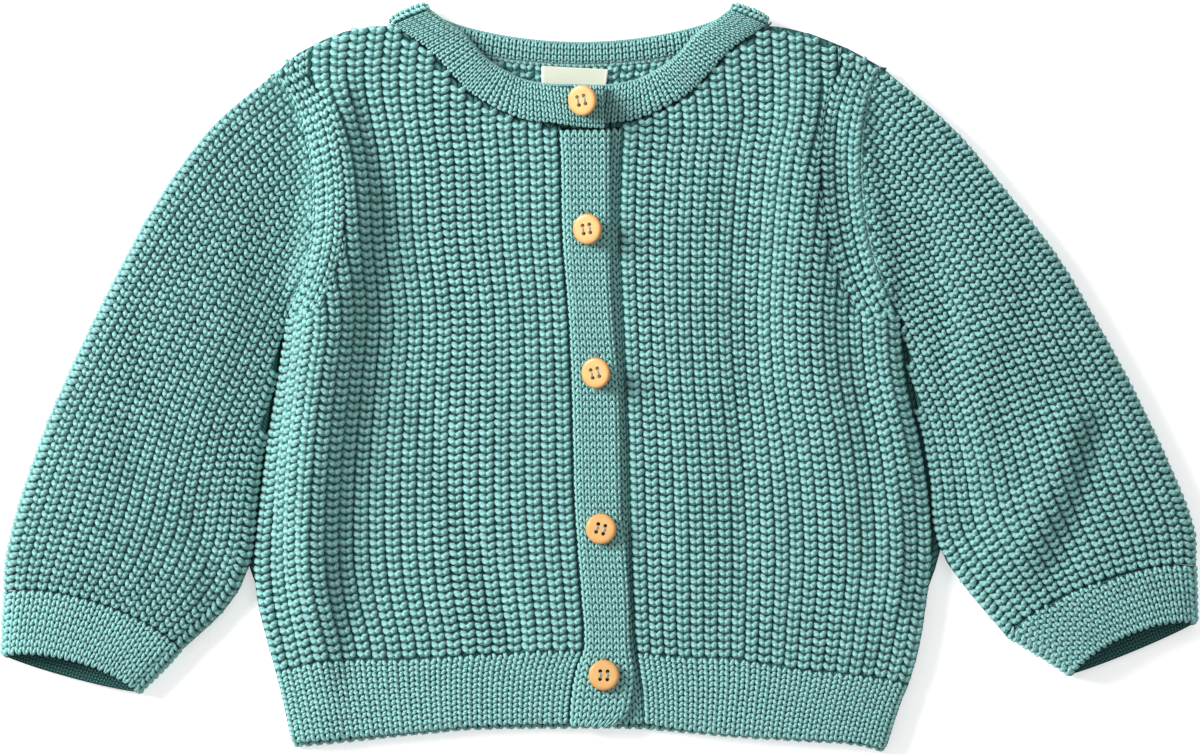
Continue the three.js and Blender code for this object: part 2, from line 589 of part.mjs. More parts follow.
// The neckband: a rolled strip that runs from the upper end at the front, over one shoulder, behind the
// neck, over the other shoulder and down to the lower end at the front.
function neckband() {
  const stations = [];
  const add = (row, sign, up, extra = 0) => stations.push({
    seam: new THREE.Vector3(neckX - sign * row.seamX, row.seamY, row.z + extra),
    free: new THREE.Vector3(neckX - sign * row.freeX, row.freeY, row.z + extra),
    up,
    thick: row.thick,
  });
  const rowAt = (rows, k) => Object.fromEntries(
    Object.keys(rows[0]).map((column) => [column, read(rows, "k", column, k)]));
  const walk = (rows, sign, from, to, up, climb) => {
    const lengthOf = (a, b) => {
      const p = rowAt(rows, a);
      const q = rowAt(rows, b);
      return Math.hypot(p.seamX + p.freeX - q.seamX - q.freeX, p.seamY + p.freeY - q.seamY - q.freeY) / 2;
    };
    let length = 0;
    for (let k = Math.min(from, to); k < Math.max(from, to); k += 0.25) length += lengthOf(k, k + 0.25);
    const count = 2 * Math.round(length / neckWale);
    for (let i = 0; i <= count; i++) {
      const k = mix(from, to, i / count);
      add(rowAt(rows, k), sign, up, climb(k));
    }
  };
  const turn = (sign, ways) => {
    const a = neckFront[0];
    const along = new THREE.Vector2(a.freeX - a.seamX, a.freeY - a.seamY).normalize();
    const away = new THREE.Vector3(-sign * along.y, -along.x, 0).normalize();
    if (away.y < 0) away.negate();
    for (const degrees of ways) {
      const angle = THREE.MathUtils.degToRad(degrees);
      const up = away.clone().multiplyScalar(Math.sin(angle)).setZ(Math.cos(angle));
      const middle = new THREE.Vector3(0, 0, neckBack[0].z + neckFoldRadius).addScaledVector(up, neckFoldRadius);
      stations.push({
        seam: new THREE.Vector3(neckX - sign * a.seamX, a.seamY, 0).add(middle),
        free: new THREE.Vector3(neckX - sign * a.freeX, a.freeY, 0).add(middle),
        up,
        thick: a.thick,
      });
    }
  };
  const flat = () => 0;
  const climbOver = (k) => overlapRise * THREE.MathUtils.smoothstep(k, 4.6, 6.6);
  const sink = (k) => -1.0 * THREE.MathUtils.smoothstep(k, 5, 6.8);
  const upwards = new THREE.Vector3(0, 0, 1);
  const downwards = new THREE.Vector3(0, 0, -1);
  walk(neckFront, 1, 8, 0, upwards, climbOver);
  turn(1, [36, 72, 108, 144]);
  walk(neckBack, 1, 0, 5, downwards, flat);
  stations.pop();
  walk(neckBack, -1, 5, 0, downwards, flat);
  turn(-1, [144, 108, 72, 36]);
  walk(neckFront, -1, 0, 7.3, upwards, sink);
  const rows = stations.map(({ seam, free, up, thick }, i) => {
    const wale = i % 2 ? neckWaleRise : 0;
    const at = (across, height) => {
      const p = seam.clone().lerp(free, (across + 1) / 2);
      p.addScaledVector(up, height * (thick / 2) + Math.sign(height) * wale * Math.abs(height));
      p.z = Math.max(0, p.z);
      return p;
    };
    return {
      outer: [at(-1, 0), at(-0.62, 0.85), at(0.1, 1), at(0.8, 0.72), at(1, 0)],
      inner: [at(-0.6, -0.85), at(0.7, -0.85)],
    };
  });
  return slab(rows);
}

// One of the two flat-knit bands, from its rows of heights and the rules for its two long edges.
function bandSlab(rows, steps, thick, leftAt, rightAt) {
  const first = rows[0].y;
  const last = rows[rows.length - 1].y;
  const across = [0, 0.06, 0.2, 0.5, 0.8, 0.94, 1];
  const made = [];
  for (let i = 0; i <= steps; i++) {
    const y = mix(first, last, i / steps);
    const left = leftAt(y);
    const right = rightAt(y);
    const z = read(rows, "y", "z", y);
    const crown = (s) => thick * (0.62 + 0.38 * rollDown(Math.min(s, 1 - s), 0.2));
    made.push({
      outer: across.map((s) => new THREE.Vector3(mix(left, right, s), y, z + crown(s))),
      inner: [0, 0.5, 1].map((s) => new THREE.Vector3(mix(left, right, s), y, z)),
    });
  }
  return slab(made);
}

function upperBand() {
  const seam = (y) => read(hands.right.panel, "y", "band", y) + bandGap * 0.5;
  return bandSlab(buttonholeBand, 26, bandWall, seam, (y) => read(buttonholeBand, "y", "right", y));
}

function lowerBand() {
  const seam = (y) => read(hands.left.panel, "y", "band", y) - bandGap * 0.5;
  return bandSlab(buttonBand, 14, bandWall, (y) => seam(y) - buttonBandWidth, seam);
}

const wasm = await Module();
wasm.setup();

// A manifold solid from a closed geometry.
function solidOf(geometry) {
  const bare = new THREE.BufferGeometry();
  bare.setAttribute("position", geometry.getAttribute("position"));
  if (geometry.index) bare.setIndex(geometry.index);
  const merged = mergeVertices(bare, 1e-4);
  return new wasm.Manifold(new wasm.Mesh({
    numProp: 3,
    vertProperties: merged.getAttribute("position").array,
    triVerts: new Uint32Array(merged.index.array),
  }));
}

function geometryOf(solid) {
  const { numProp, vertProperties, triVerts } = solid.getMesh();
  const geometry = new THREE.BufferGeometry();
  const interleaved = new THREE.InterleavedBuffer(vertProperties, numProp);
  const position = [];
  for (let i = 0; i < interleaved.count; i++) {
    position.push(...vertProperties.subarray(i * numProp, i * numProp + 3));
  }
  geometry.setAttribute("position", new THREE.Float32BufferAttribute(position, 3));
  geometry.setIndex(new THREE.BufferAttribute(triVerts, 1));
  geometry.computeVertexNormals();
  return geometry;
}

// Cuts the buttonholes of the given buttons through a band.
function withButtonholes(geometry, rows) {
  let solid = solidOf(geometry);
  for (const b of rows) {
    const slot = new THREE.CylinderGeometry(1, 1, 12, 10).rotateX(Math.PI / 2);
    const [sizeX, sizeY] = b.across
      ? [buttonholeLength, buttonholeWidth] : [buttonholeWidth, buttonholeLength];
    slot.scale(sizeX / 2, sizeY / 2, 1).translate(b.x, b.y, b.top - 2);
    solid = solid.subtract(solidOf(slot));
  }
  return geometryOf(solid);
}

// A wooden four-hole button with the thread shank that holds it on the band below.
function button({ top, under, tip }) {
  const tipAngle = THREE.MathUtils.degToRad(tip);
  const half = buttonThickness / 2;
  const seat = layerGap + buttonRadius * Math.sin(tipAngle) + half;
  const profile = [
    [0, -half], [4.9, -half], [5.9, -0.5], [buttonRadius, 0.1], [5.75, 0.8], [4.7, half], [0, half + 0.05],
  ].map(([r, z]) => new THREE.Vector2(r, z));
  const disc = new THREE.LatheGeometry(profile, 20).rotateX(Math.PI / 2);
  let solid = solidOf(disc);
  for (const sx of [-1, 1]) {
    for (const sy of [-1, 1]) {
      const hole = new THREE.CylinderGeometry(holeRadius, holeRadius, 6, 8).rotateX(Math.PI / 2);
      hole.translate((sx * holeSpacing.x) / 2, (sy * holeSpacing.y) / 2, 0);
      solid = solid.subtract(solidOf(hole));
    }
  }
  const placed = geometryOf(solid).rotateY(-tipAngle).translate(0, 0, top + seat);
  const shankTop = top + seat;
  const shankLength = shankTop - under - 0.3;
  const shank = new THREE.CylinderGeometry(shankRadius, shankRadius, shankLength, 8).rotateX(Math.PI / 2);
  shank.translate(0, 0, shankTop - shankLength / 2);
  return geometryOf(solidOf(placed).add(solidOf(shank)));
}

function labelPlate() {
  const { left, right, top, height, thick, skew } = label;
  const lowerLeft = [left, top - height];
  const lowerRight = [right - 2, top - height + skew];
  const raised = knitWall + 0.3;
  return plate([lowerLeft, lowerRight, [right, top + skew], [left, top]], thick, 0.15).translate(0, 0, raised);
}

const group = new THREE.Group();
function place(name, geometry, finish, angle = 0) {
  const mesh = new THREE.Mesh(geometry, new THREE.MeshStandardMaterial({ ...finish, name }));
  mesh.name = name;
  mesh.rotation.z = THREE.MathUtils.degToRad(angle);
  group.add(mesh);
  return mesh;
}

place("back", backPanel(), cottonTeal);
place("hem_back", backHem(), cottonTeal);
for (const [name, hand] of Object.entries(hands)) {
  place(`front_${name}`, frontPanel(hand), cottonTeal);
  place(`hem_front_${name}`, frontHem(hand), cottonTeal);
  place(`sleeve_${name}`, sleeve(hand, innerRolls[name]), cottonTeal);
  place(`cuff_${name}`, cuff(hand), cottonTeal);
}
place("neckband", withButtonholes(neckband(), buttons.slice(0, 1)), cottonTeal);
place("buttonhole_band", withButtonholes(upperBand(), buttons.slice(1)), cottonTeal);
place("button_band", lowerBand(), cottonTeal);
for (const b of buttons) place(b.name, button(b), woodYellow, b.turn).position.set(b.x, b.y, 0);
place("neck_label", labelPlate(), labelCream);

export default group;
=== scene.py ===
"""Baby cardigan in chunky fisherman's rib, laid flat with its front side up.

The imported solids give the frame. Each cloth piece gets a thin ground shell on its solid's form, and the
stitches of its knit are laid on that shell. Sizes in the tables are millimetres; meshes are in metres.
"""

import logging
import math
from dataclasses import dataclass, field
from enum import Enum
from typing import Any, Callable, NamedTuple, Sequence

import bpy
import numpy as np
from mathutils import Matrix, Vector


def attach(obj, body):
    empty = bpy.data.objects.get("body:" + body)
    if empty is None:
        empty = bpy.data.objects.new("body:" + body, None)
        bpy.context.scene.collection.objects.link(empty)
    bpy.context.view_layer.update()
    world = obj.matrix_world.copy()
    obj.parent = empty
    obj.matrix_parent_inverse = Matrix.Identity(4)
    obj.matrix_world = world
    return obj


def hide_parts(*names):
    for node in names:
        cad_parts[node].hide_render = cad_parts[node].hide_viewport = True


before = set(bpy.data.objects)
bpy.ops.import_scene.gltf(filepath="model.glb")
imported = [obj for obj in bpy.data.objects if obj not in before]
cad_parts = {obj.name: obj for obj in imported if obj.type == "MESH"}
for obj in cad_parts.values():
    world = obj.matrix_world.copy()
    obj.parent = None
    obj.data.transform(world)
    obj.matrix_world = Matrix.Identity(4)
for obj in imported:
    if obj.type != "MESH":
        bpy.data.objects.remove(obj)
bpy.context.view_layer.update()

LOG = logging.getLogger("cardigan")
MM = 0.001
Array = np.ndarray
Face = Callable[[Array, Array], Array]

KNIT_WALL = 3.0
BAND_WALL = 2.6
LAYER_GAP = 0.4
SEAM_GAP = 0.6
ARMHOLE_GAP = 1.3
BAND_GAP = 1.0
FOLD_ROLL = 7.0
EDGE_LIP = 0.9
INNER_SHARE = 0.68
TORSO_PUFF = 1.2
ROLL_HEIGHT = 4.0
ARMHOLE_SQUARE = 0.35
NECK_X = -7.8
ARMHOLE_FOOT = 25.0
PANEL_TOP = 146.0
HEM_START = {"top": -112.0, "front": -144.0}


class Station(NamedTuple):
    """A line across a sleeve, from its outer fold to its inner one, and how it bows and lifts."""

    t: float
    outer_x: float
    outer_y: float
    inner_x: float
    inner_y: float
    bow: float
    lift: float
    under: float = 0.0


class PanelRow(NamedTuple):
    """The side and the band edge of a front at one height."""

    y: float
    side: float
    band: float


class LinePoint(NamedTuple):
    """A point of an edge in plan."""

    x: float
    y: float


class HemPoint(NamedTuple):
    """The hem's upper line, and the lower edges of the front and the back, at one place across."""

    x: float
    top: float
    front: float
    back: float


class Crease(NamedTuple):
    """A soft fold in plan: a ridge has a positive rise and a trough a negative one."""

    from_x: float
    from_y: float
    via_x: float
    via_y: float
    to_x: float
    to_y: float
    rise: float
    reach: float
    right_reach: float = 0.0


class FoldRow(NamedTuple):
    """A large fold at one height: its crest, how high it stands, and how far it reaches to either side."""

    y: float
    crest: float
    rise: float
    left: float
    right: float


class NeckRow(NamedTuple):
    """The neckband's seam and free edge, as distances from the neck's middle, its height and thickness."""

    k: float
    seam_x: float
    seam_y: float
    free_x: float
    free_y: float
    z: float
    thick: float


class BandRow(NamedTuple):
    """The free edge and the height of the buttonhole band at one height of the garment."""

    y: float
    right: float
    z: float


class ButtonPlace(NamedTuple):
    """Where a button sits, what it rests over, how far it tips, and how its holes are turned."""

    name: str
    x: float
    y: float
    top: float
    under: float
    tip: float
    turn: float
    across: bool


class Hand(NamedTuple):
    """One half of the garment, with the wearer's right half on the left in a view from above."""

    name: str
    sign: int
    hem_ribs: int
    inner_roll: float
    shoulder: tuple[LinePoint, ...]
    panel: tuple[PanelRow, ...]
    sleeve: tuple[Station, ...]
    cuff: tuple[Station, ...]
    creases: tuple[Crease, ...]


class Lay(Enum):
    """The layer of a flattened tube."""

    UPPER = "upper"
    UNDER = "under"


class StitchKind(Enum):
    """The stitches that the knitting is made of, each with its nominal width and row height."""

    RIB = (5.7, 3.2)
    PLAIN = (3.9, 2.8)
    BAND = (2.7, 2.7)
    FINE = (2.6, 2.2)
    CHAIN = (2.4, 3.2)


def table(kind: Callable[..., Any], rows: Sequence[tuple]) -> tuple[Any, ...]:
    """A table whose rows have the named columns of a kind."""
    return tuple(kind(*row) for row in rows)


RIGHT = Hand(
    name="right",
    sign=1,
    hem_ribs=28,
    inner_roll=7.0,
    shoulder=table(LinePoint, ((-130.4, 121.2), (-120.8, 129.6), (-102.0, 138.4))),
    panel=table(PanelRow, (
        (145, -156, -6), (119, -156, -11), (101, -143, -15.9),
        (87, -137, -15.6), (57, -132, -15), (25, -125.6, -12.6),
        (-1, -129, -11.4), (-25, -133, -10.8), (-49, -136, -10.2),
        (-73, -138.2, -8.6), (-89, -137, -7.3), (-108, -132.5, -6.4),
        (-118, -129.6, -9.8), (-131, -126.4, -11.8), (-148, -122.8, -12.4),
    )),
    sleeve=table(Station, (
        (0, -130.4, 121.2, -125.6, 25, 14.4, 1.5),
        (1, -156, 98.8, -127.2, 12.8, 7, 4),
        (2, -177.6, 68.8, -128.8, -1, 3, 6),
        (3, -194, 38.8, -131.2, -15, 1, 7.2),
        (4, -208.8, 8.8, -133.8, -31, 1, 7.4),
        (5, -222, -21.2, -136.4, -51, 2, 7.4),
        (6, -232.4, -51.2, -139, -74, 3.5, 7.4),
        (7, -237.6, -73.2, -149.6, -92.8, 5.5, 7.2),
        (8, -238.2, -86, -166.8, -109.2, 7.8, 7.2),
    )),
    cuff=table(Station, (
        (0, -238.2, -86.7, -167.2, -109.8, 7.8, 7.2, 7.8),
        (1, -238.8, -99, -175.6, -118.4, 6.6, 7.2, 3),
        (2, -239.2, -111.6, -184, -126.6, 6, 7.4, -1.6),
    )),
    creases=table(Crease, (
        (-146, 60, -150, 20, -158, -20, 0.9, 9),
        (-160, -58, -152, -74, -156, -92, -1.4, 6),
        (-196, 10, -204, -30, -212, -70, 0.7, 14),
        (-176, 44, -184, 10, -186, -30, -0.6, 8),
    )),
)
LEFT = Hand(
    name="left",
    sign=-1,
    hem_ribs=26,
    inner_roll=15.0,
    shoulder=table(LinePoint, ((112.8, 124), (100, 131.2), (84, 137.6))),
    panel=table(PanelRow, (
        (145, 139.6, 2.4), (119, 139.6, 5), (101, 133.5, 9),
        (87, 128.8, 8.6), (57, 124, 8), (25, 120.4, 9.2),
        (-1, 122, 10.4), (-25, 127.6, 11.4), (-49, 131.6, 12),
        (-73, 132.8, 12.6), (-89, 131, 13.2), (-108, 128, 14.4),
        (-121, 124.4, 16.4), (-131, 120.4, 17.4), (-151, 114, 18),
    )),
    sleeve=table(Station, (
        (0, 112.8, 124, 120.4, 25, 11.6, 1.5),
        (1, 142, 98.8, 121.8, 16, 6, 4),
        (2, 164, 72.8, 123.2, 4, 3, 6),
        (3, 182.8, 48.8, 125.6, -9, 1, 7.2),
        (4, 200.8, 18.8, 128.4, -23, 1, 7.4),
        (5, 216.8, -11.2, 131.6, -41, 2, 7.4),
        (6, 230.8, -41.2, 134.2, -65, 3.5, 7.4),
        (7, 238, -61.2, 145.6, -83.2, 5.5, 7.2),
        (8, 238.8, -75.6, 162.2, -103.2, 7.8, 7.2),
    )),
    cuff=table(Station, (
        (0, 238.8, -76.3, 162.6, -103.8, 7.8, 7.2, 7.8),
        (1, 239, -87.2, 175.2, -111.2, 7, 7.2, 3.4),
        (2, 239.2, -98.4, 188, -119.6, 6.6, 7.4, -1.2),
    )),
    creases=table(Crease, (
        (115, 112, 121, 62, 129, 22, -7.0, 10, 10),
        (129, 22, 136, -14, 143, -62, -6.6, 13, 11),
        (187, -17, 180, -42, 168, -70, 2.4, 8),
        (200, -20, 193, -48, 184, -74, -1.8, 7),
        (170, 30, 164, 0, 160, -40, -0.9, 9),
        (150, 60, 160, 30, 172, 6, 0.9, 9),
    )),
)
HANDS = (RIGHT, LEFT)

HEM_LINE = table(HemPoint, (
    (-140, -118.4, -147, -149), (-128.5, -117.6, -146.4, -148.4),
    (-110.4, -113.6, -144.8, -146.8), (-74.8, -112.8, -141.6, -143.2),
    (-50, -111.2, -139.2, -141), (-7.2, -109.2, -138, -140.4),
    (14.4, -110, -137.6, -140.6), (31.6, -112, -140.4, -142),
    (54, -112.8, -142.8, -144), (79.2, -116.8, -144.4, -145.6),
    (102.8, -119.2, -145.6, -147.2), (116.4, -121.2, -148.8, -150.4),
    (126, -124, -149.2, -150.6),
))

RIGHT_FOLD = table(FoldRow, (
    (120, -104, 0.5, 12, 10), (103, -106, 6.5, 16, 13), (71, -102.5, 11, 20, 20),
    (39, -109.5, 13, 17, 28), (18, -112.5, 13, 15, 29), (-8, -115, 12.5, 15, 29),
    (-41, -118, 11, 15, 25), (-73, -116.5, 8.5, 15, 19), (-105, -112.5, 4.5, 14, 14),
    (-128, -110, 1.0, 12, 12),
))
LEFT_FOLD = table(FoldRow, (
    (120, 80, 0.5, 14, 12), (100, 80, 3.6, 18, 17), (62, 81, 4.4, 20, 20),
    (10, 84, 4.0, 22, 22), (-10, 90, 3.2, 24, 20), (-50, 98, 2.2, 24, 18),
    (-100, 102, 0.6, 24, 16),
))
FOLDS = table(Crease, (
    (-68, -17, -50, -68, -34, -106, -1.5, 8, 6),
    (53, 92, 57, 20, 58, -82, -1.5, 8),
    (103, 106, 107, 74, 114, 34, 2.4, 6, 5),
    (113, 20, 119, -30, 118, -90, 2.4, 7, 6),
    (26, 80, 30, 0, 34, -96, 0.7, 10),
))

NECK_FRONT = table(NeckRow, (
    (0, 74.6, 140.6, 60.2, 146.5, 7.3, 4.4), (1, 68.2, 136.4, 53.8, 141.6, 7.4, 4.6),
    (2, 59, 129.6, 46.6, 136.6, 7.4, 4.8), (3, 49.8, 119.4, 39.2, 128.4, 7.4, 4.8),
    (4, 41, 111.6, 32.2, 123.2, 7.4, 4.8), (5, 24.2, 103.4, 23, 118.6, 7.4, 4.6),
    (6, 10.6, 101.2, 12.6, 116.6, 7.4, 4.2), (7, 0, 99.6, 0.6, 116.4, 7.4, 3.8),
    (8, -10, 99, -9.4, 116, 7.4, 3.6),
))
NECK_BACK = table(NeckRow, (
    (0, 74.6, 140.6, 60.2, 146.5, 2.3, 4.4), (1, 60.2, 135.4, 55.4, 143, 2.3, 4.4),
    (2, 46.6, 131, 45, 139.4, 2.4, 4.4), (3, 29.8, 127.4, 29, 136, 2.4, 4.4),
    (4, 14.2, 125.8, 13.8, 134.2, 2.4, 4.4), (5, 0, 125.2, 0, 133.6, 2.4, 4.4),
))

BUTTONHOLE_BAND = table(BandRow, (
    (98.2, 4, 8.2), (84, 4, 7.2), (72.4, 4, 6.7), (40.4, 4.2, 6.6),
    (21.2, 5.2, 6.6), (-4, 7.4, 6.6), (-21.2, 8, 6.6), (-55.2, 8.6, 6.6),
    (-69.2, 10.2, 6.6), (-90.4, 11.6, 6.6), (-108, 12, 6.6),
    (-118.4, 13.4, 6.6), (-129.2, 12.4, 6.6), (-136, 10.4, 6.6),
    (-139.4, 6, 6.6),
))
BUTTON_BAND = table(BandRow, ((98.2, 0, 4.2), (82, 0, 3.5), (-138.6, 0, 3.5)))

BUTTONS = table(ButtonPlace, (
    ("button_1", -6.8, 109.9, 12.4, 8.6, 24, 12, True),
    ("button_2", -4.8, 58.8, 9.3, 6.3, 22, 8, False),
    ("button_3", -1.4, 1.4, 9.3, 6.3, 22, 14, False),
    ("button_4", 0.6, -60.8, 9.3, 6.3, 4, -15, False),
    ("button_5", 1.8, -119.2, 9.3, 6.3, 2, -2, False),
))


def read(rows: Sequence[Any], key: str, column: str, at: Array | float) -> Array:
    """Reads a column of a table at values of its key, on a smooth curve through the rows.

    Args:
        rows: The table.
        key: The column that at is given in.
        column: The column that is read.
        at: One or more values of the key.

    Returns:
        The column's values, in the shape of at.
    """
    keys = np.array([getattr(row, key) for row in rows], float)
    values = np.array([getattr(row, column) for row in rows], float)
    if keys[0] > keys[-1]:
        keys, values = keys[::-1], values[::-1]
    last = len(keys) - 1
    place = np.clip(np.asarray(at, float), keys[0], keys[-1])
    low = np.clip(np.searchsorted(keys, place, side="right") - 1, 0, last - 1)
    before, after = np.maximum(np.arange(last + 1) - 1, 0), np.minimum(np.arange(last + 1) + 1, last)
    slope = (values[after] - values[before]) / (keys[after] - keys[before])
    span, rise = keys[low + 1] - keys[low], values[low + 1] - values[low]
    t = (place - keys[low]) / span
    start, end = slope[low] * span, slope[low + 1] * span
    return values[low] + t * (start + t * (3 * rise - 2 * start - end + t * (start + end - 2 * rise)))


def roll_down(distance: Array, radius: float | Array) -> Array:
    """A quarter-round from 0 at an edge to 1 at the given radius in from it."""
    return np.sqrt(1 - (1 - np.clip(distance / radius, 0, 1)) ** 2)


def distance_to(chain: Array, x: Array, y: Array) -> Array:
    """Distance in plan from points to a chain of points.

    Args:
        chain: The chain, a point to a row.
        x: The points' x.
        y: The points' y.

    Returns:
        The distance of each point.
    """
    least = np.full(np.broadcast(x, y).shape, np.inf)
    for (ax, ay), (bx, by) in zip(chain[:-1], chain[1:]):
        along = ((x - ax) * (bx - ax) + (y - ay) * (by - ay)) / ((bx - ax) ** 2 + (by - ay) ** 2)
        t = np.clip(along, 0, 1)
        least = np.minimum(least, np.hypot(x - ax - (bx - ax) * t, y - ay - (by - ay) * t))
    return least


def crease_rise(creases: Sequence[Crease], x: Array, y: Array) -> Array:
    """How far soft folds lift points in plan.

    Args:
        creases: The folds.
        x: The points' x.
        y: The points' y.

    Returns:
        The rise at each point.
    """
    rise = np.zeros(np.broadcast(x, y).shape)
    for c in creases:
        chain = np.array([(c.from_x, c.from_y), (c.via_x, c.via_y), (c.to_x, c.to_y)])
        order = np.argsort(chain[:, 1])
        crest = np.interp(y, chain[order, 1], chain[order, 0])
        reach = np.where(x > crest, c.right_reach or c.reach, c.reach)
        rise += c.rise * np.exp(-((distance_to(chain, x, y) / reach) ** 2))
    return rise


def fold_rise(rows: Sequence[FoldRow], x: Array, y: Array) -> Array:
    """How far a large fold lifts points in plan.

    Args:
        rows: The fold's rows.
        x: The points' x.
        y: The points' y.

    Returns:
        The rise at each point.
    """
    off = x - read(rows, "y", "crest", y)
    reach = np.where(off > 0, read(rows, "y", "right", y), read(rows, "y", "left", y))
    wave = 0.5 + 0.5 * np.cos(math.pi * np.clip(np.abs(off) / reach, 0, 1))
    return read(rows, "y", "rise", y) * wave


def torso_rise(x: Array, y: Array) -> Array:
    """How far all folds of the fronts lift points in plan."""
    return crease_rise(FOLDS, x, y) + fold_rise(RIGHT_FOLD, x, y) + fold_rise(LEFT_FOLD, x, y)


def wander(x: Array, y: Array, size: float, seed: int) -> Array:
    """A smooth uneven value from about -1 to 1 that changes over a given size in plan."""
    rng = np.random.default_rng(seed)
    total = np.zeros(np.broadcast(x, y).shape)
    for _ in range(5):
        angle, phase = rng.uniform(0, 2 * math.pi, 2)
        wave = rng.uniform(0.7, 1.5) * 2 * math.pi / size
        total += np.sin(wave * (x * math.cos(angle) + y * math.sin(angle)) + phase)
    return total / 3


def layer_point(rows: Sequence[Station], sign: int, s: Array, t: Array,
                bow: str = "bow") -> tuple[Array, ...]:
    """A point of a sleeve's or cuff's layer in plan.

    Args:
        rows: The stations.
        sign: 1 on the wearer's right, -1 on the left.
        s: 0 at the outer fold, 1 at the inner one.
        t: The station.
        bow: The column that gives how the line bows.

    Returns:
        x, y and the line's width.
    """
    outer_x, outer_y = read(rows, "t", "outer_x", t), read(rows, "t", "outer_y", t)
    dx = read(rows, "t", "inner_x", t) - outer_x
    dy = read(rows, "t", "inner_y", t) - outer_y
    width = np.hypot(dx, dy)
    u2 = (2 * s - 1) ** 2
    bowed = read(rows, "t", bow, t) * (1 - u2) * (1 + ARMHOLE_SQUARE * u2) * sign
    return outer_x + dx * s - dy / width * bowed, outer_y + dy * s + dx / width * bowed, width


def body_edge(hand: Hand, y: Array) -> Array:
    """The body's side at a height: its side seam, and the armhole above it."""
    s = np.linspace(0, 1, 160)
    x, height, _ = layer_point(hand.sleeve, hand.sign, s, np.zeros(160))
    armhole = np.interp(y, height[::-1], x[::-1]) + hand.sign * ARMHOLE_GAP
    side = read(hand.panel, "y", "side", y) + hand.sign * SEAM_GAP * 0.5
    return np.where(y <= hand.sleeve[0].inner_y, side, armhole)


def top_line(hand: Hand) -> list[LinePoint]:
    """The upper edge of a front: its shoulder, then the neckband's seam."""
    neck = [LinePoint(NECK_X - hand.sign * row.seam_x, row.seam_y) for row in NECK_FRONT[:8]]
    return [*hand.shoulder, *neck]


def front_height(hand: Hand, x: Array, y: Array, wall: float, rise: Array | float) -> tuple[Array, Array]:
    """Heights of a front's outer and inner face.

    Args:
        hand: The half of the garment.
        x: The points' x.
        y: The points' y.
        wall: Thickness of the cloth.
        rise: How far the outer face stands over the cloth's grooves.

    Returns:
        The heights of the outer and the inner face.
    """
    side = [(hand.sleeve[0].inner_x, hand.sleeve[0].inner_y)]
    side += [(row.side, row.y) for row in hand.panel if row.y < 25]
    shoulder = [(row.x, row.y) for row in hand.shoulder]
    shoulder.append((NECK_X - hand.sign * NECK_FRONT[0].seam_x, NECK_FRONT[0].seam_y + 1))
    d = np.minimum(distance_to(np.array(side), x, y), distance_to(np.array(shoulder), x, y))
    lift = TORSO_PUFF + torso_rise(x, y)
    seat = KNIT_WALL + LAYER_GAP
    roll = roll_down(d, FOLD_ROLL)
    outer = seat + EDGE_LIP + (wall + lift - EDGE_LIP) * roll + rise * roll
    inner = seat + INNER_SHARE * lift * roll_down(np.maximum(0, d - 1.5), FOLD_ROLL)
    return outer, np.minimum(inner, outer - EDGE_LIP * 0.6)


def hem_y(column: str, x: Array) -> Array:
    """The height in plan of a line of the hem."""
    return read(HEM_LINE, "x", column, x)


def meet_hem(x_at: Callable[[Array], Array], shape: tuple[int, ...], gap: float,
             column: str = "top") -> Array:
    """Heights at which lines up a panel meet a line of the hem.

    Args:
        x_at: The lines' x at given heights.
        shape: Shape of the answer.
        gap: How far above the hem's line they end.
        column: The hem's line.

    Returns:
        The heights.
    """
    y = np.full(shape, HEM_START[column])
    for _ in range(5):
        y = hem_y(column, x_at(y)) + gap
    return y


def meet_top(inside: Callable[[Array], Array], shape: tuple[int, ...]) -> Array:
    """Heights at which lines up a panel leave it, by halving.

    Args:
        inside: Whether the lines are still on the panel at given heights.
        shape: Shape of the answer.

    Returns:
        The heights.
    """
    low, high = np.full(shape, ARMHOLE_FOOT), np.full(shape, PANEL_TOP)
    for _ in range(22):
        y = (low + high) / 2
        within = inside(y)
        low, high = np.where(within, y, low), np.where(within, high, y)
    return low


def look_up(grid: Array, row: Array, column: Array) -> Array:
    """Values of a grid at places between its rows and columns."""
    row, column = (np.clip(at, 0, size - 1.001) for at, size in zip((row, column), grid.shape))
    r, c = row.astype(int), column.astype(int)
    u, v = row - r, column - c
    low = grid[r, c] * (1 - v) + grid[r, c + 1] * v
    high = grid[r + 1, c] * (1 - v) + grid[r + 1, c + 1] * v
    return low * (1 - u) + high * u


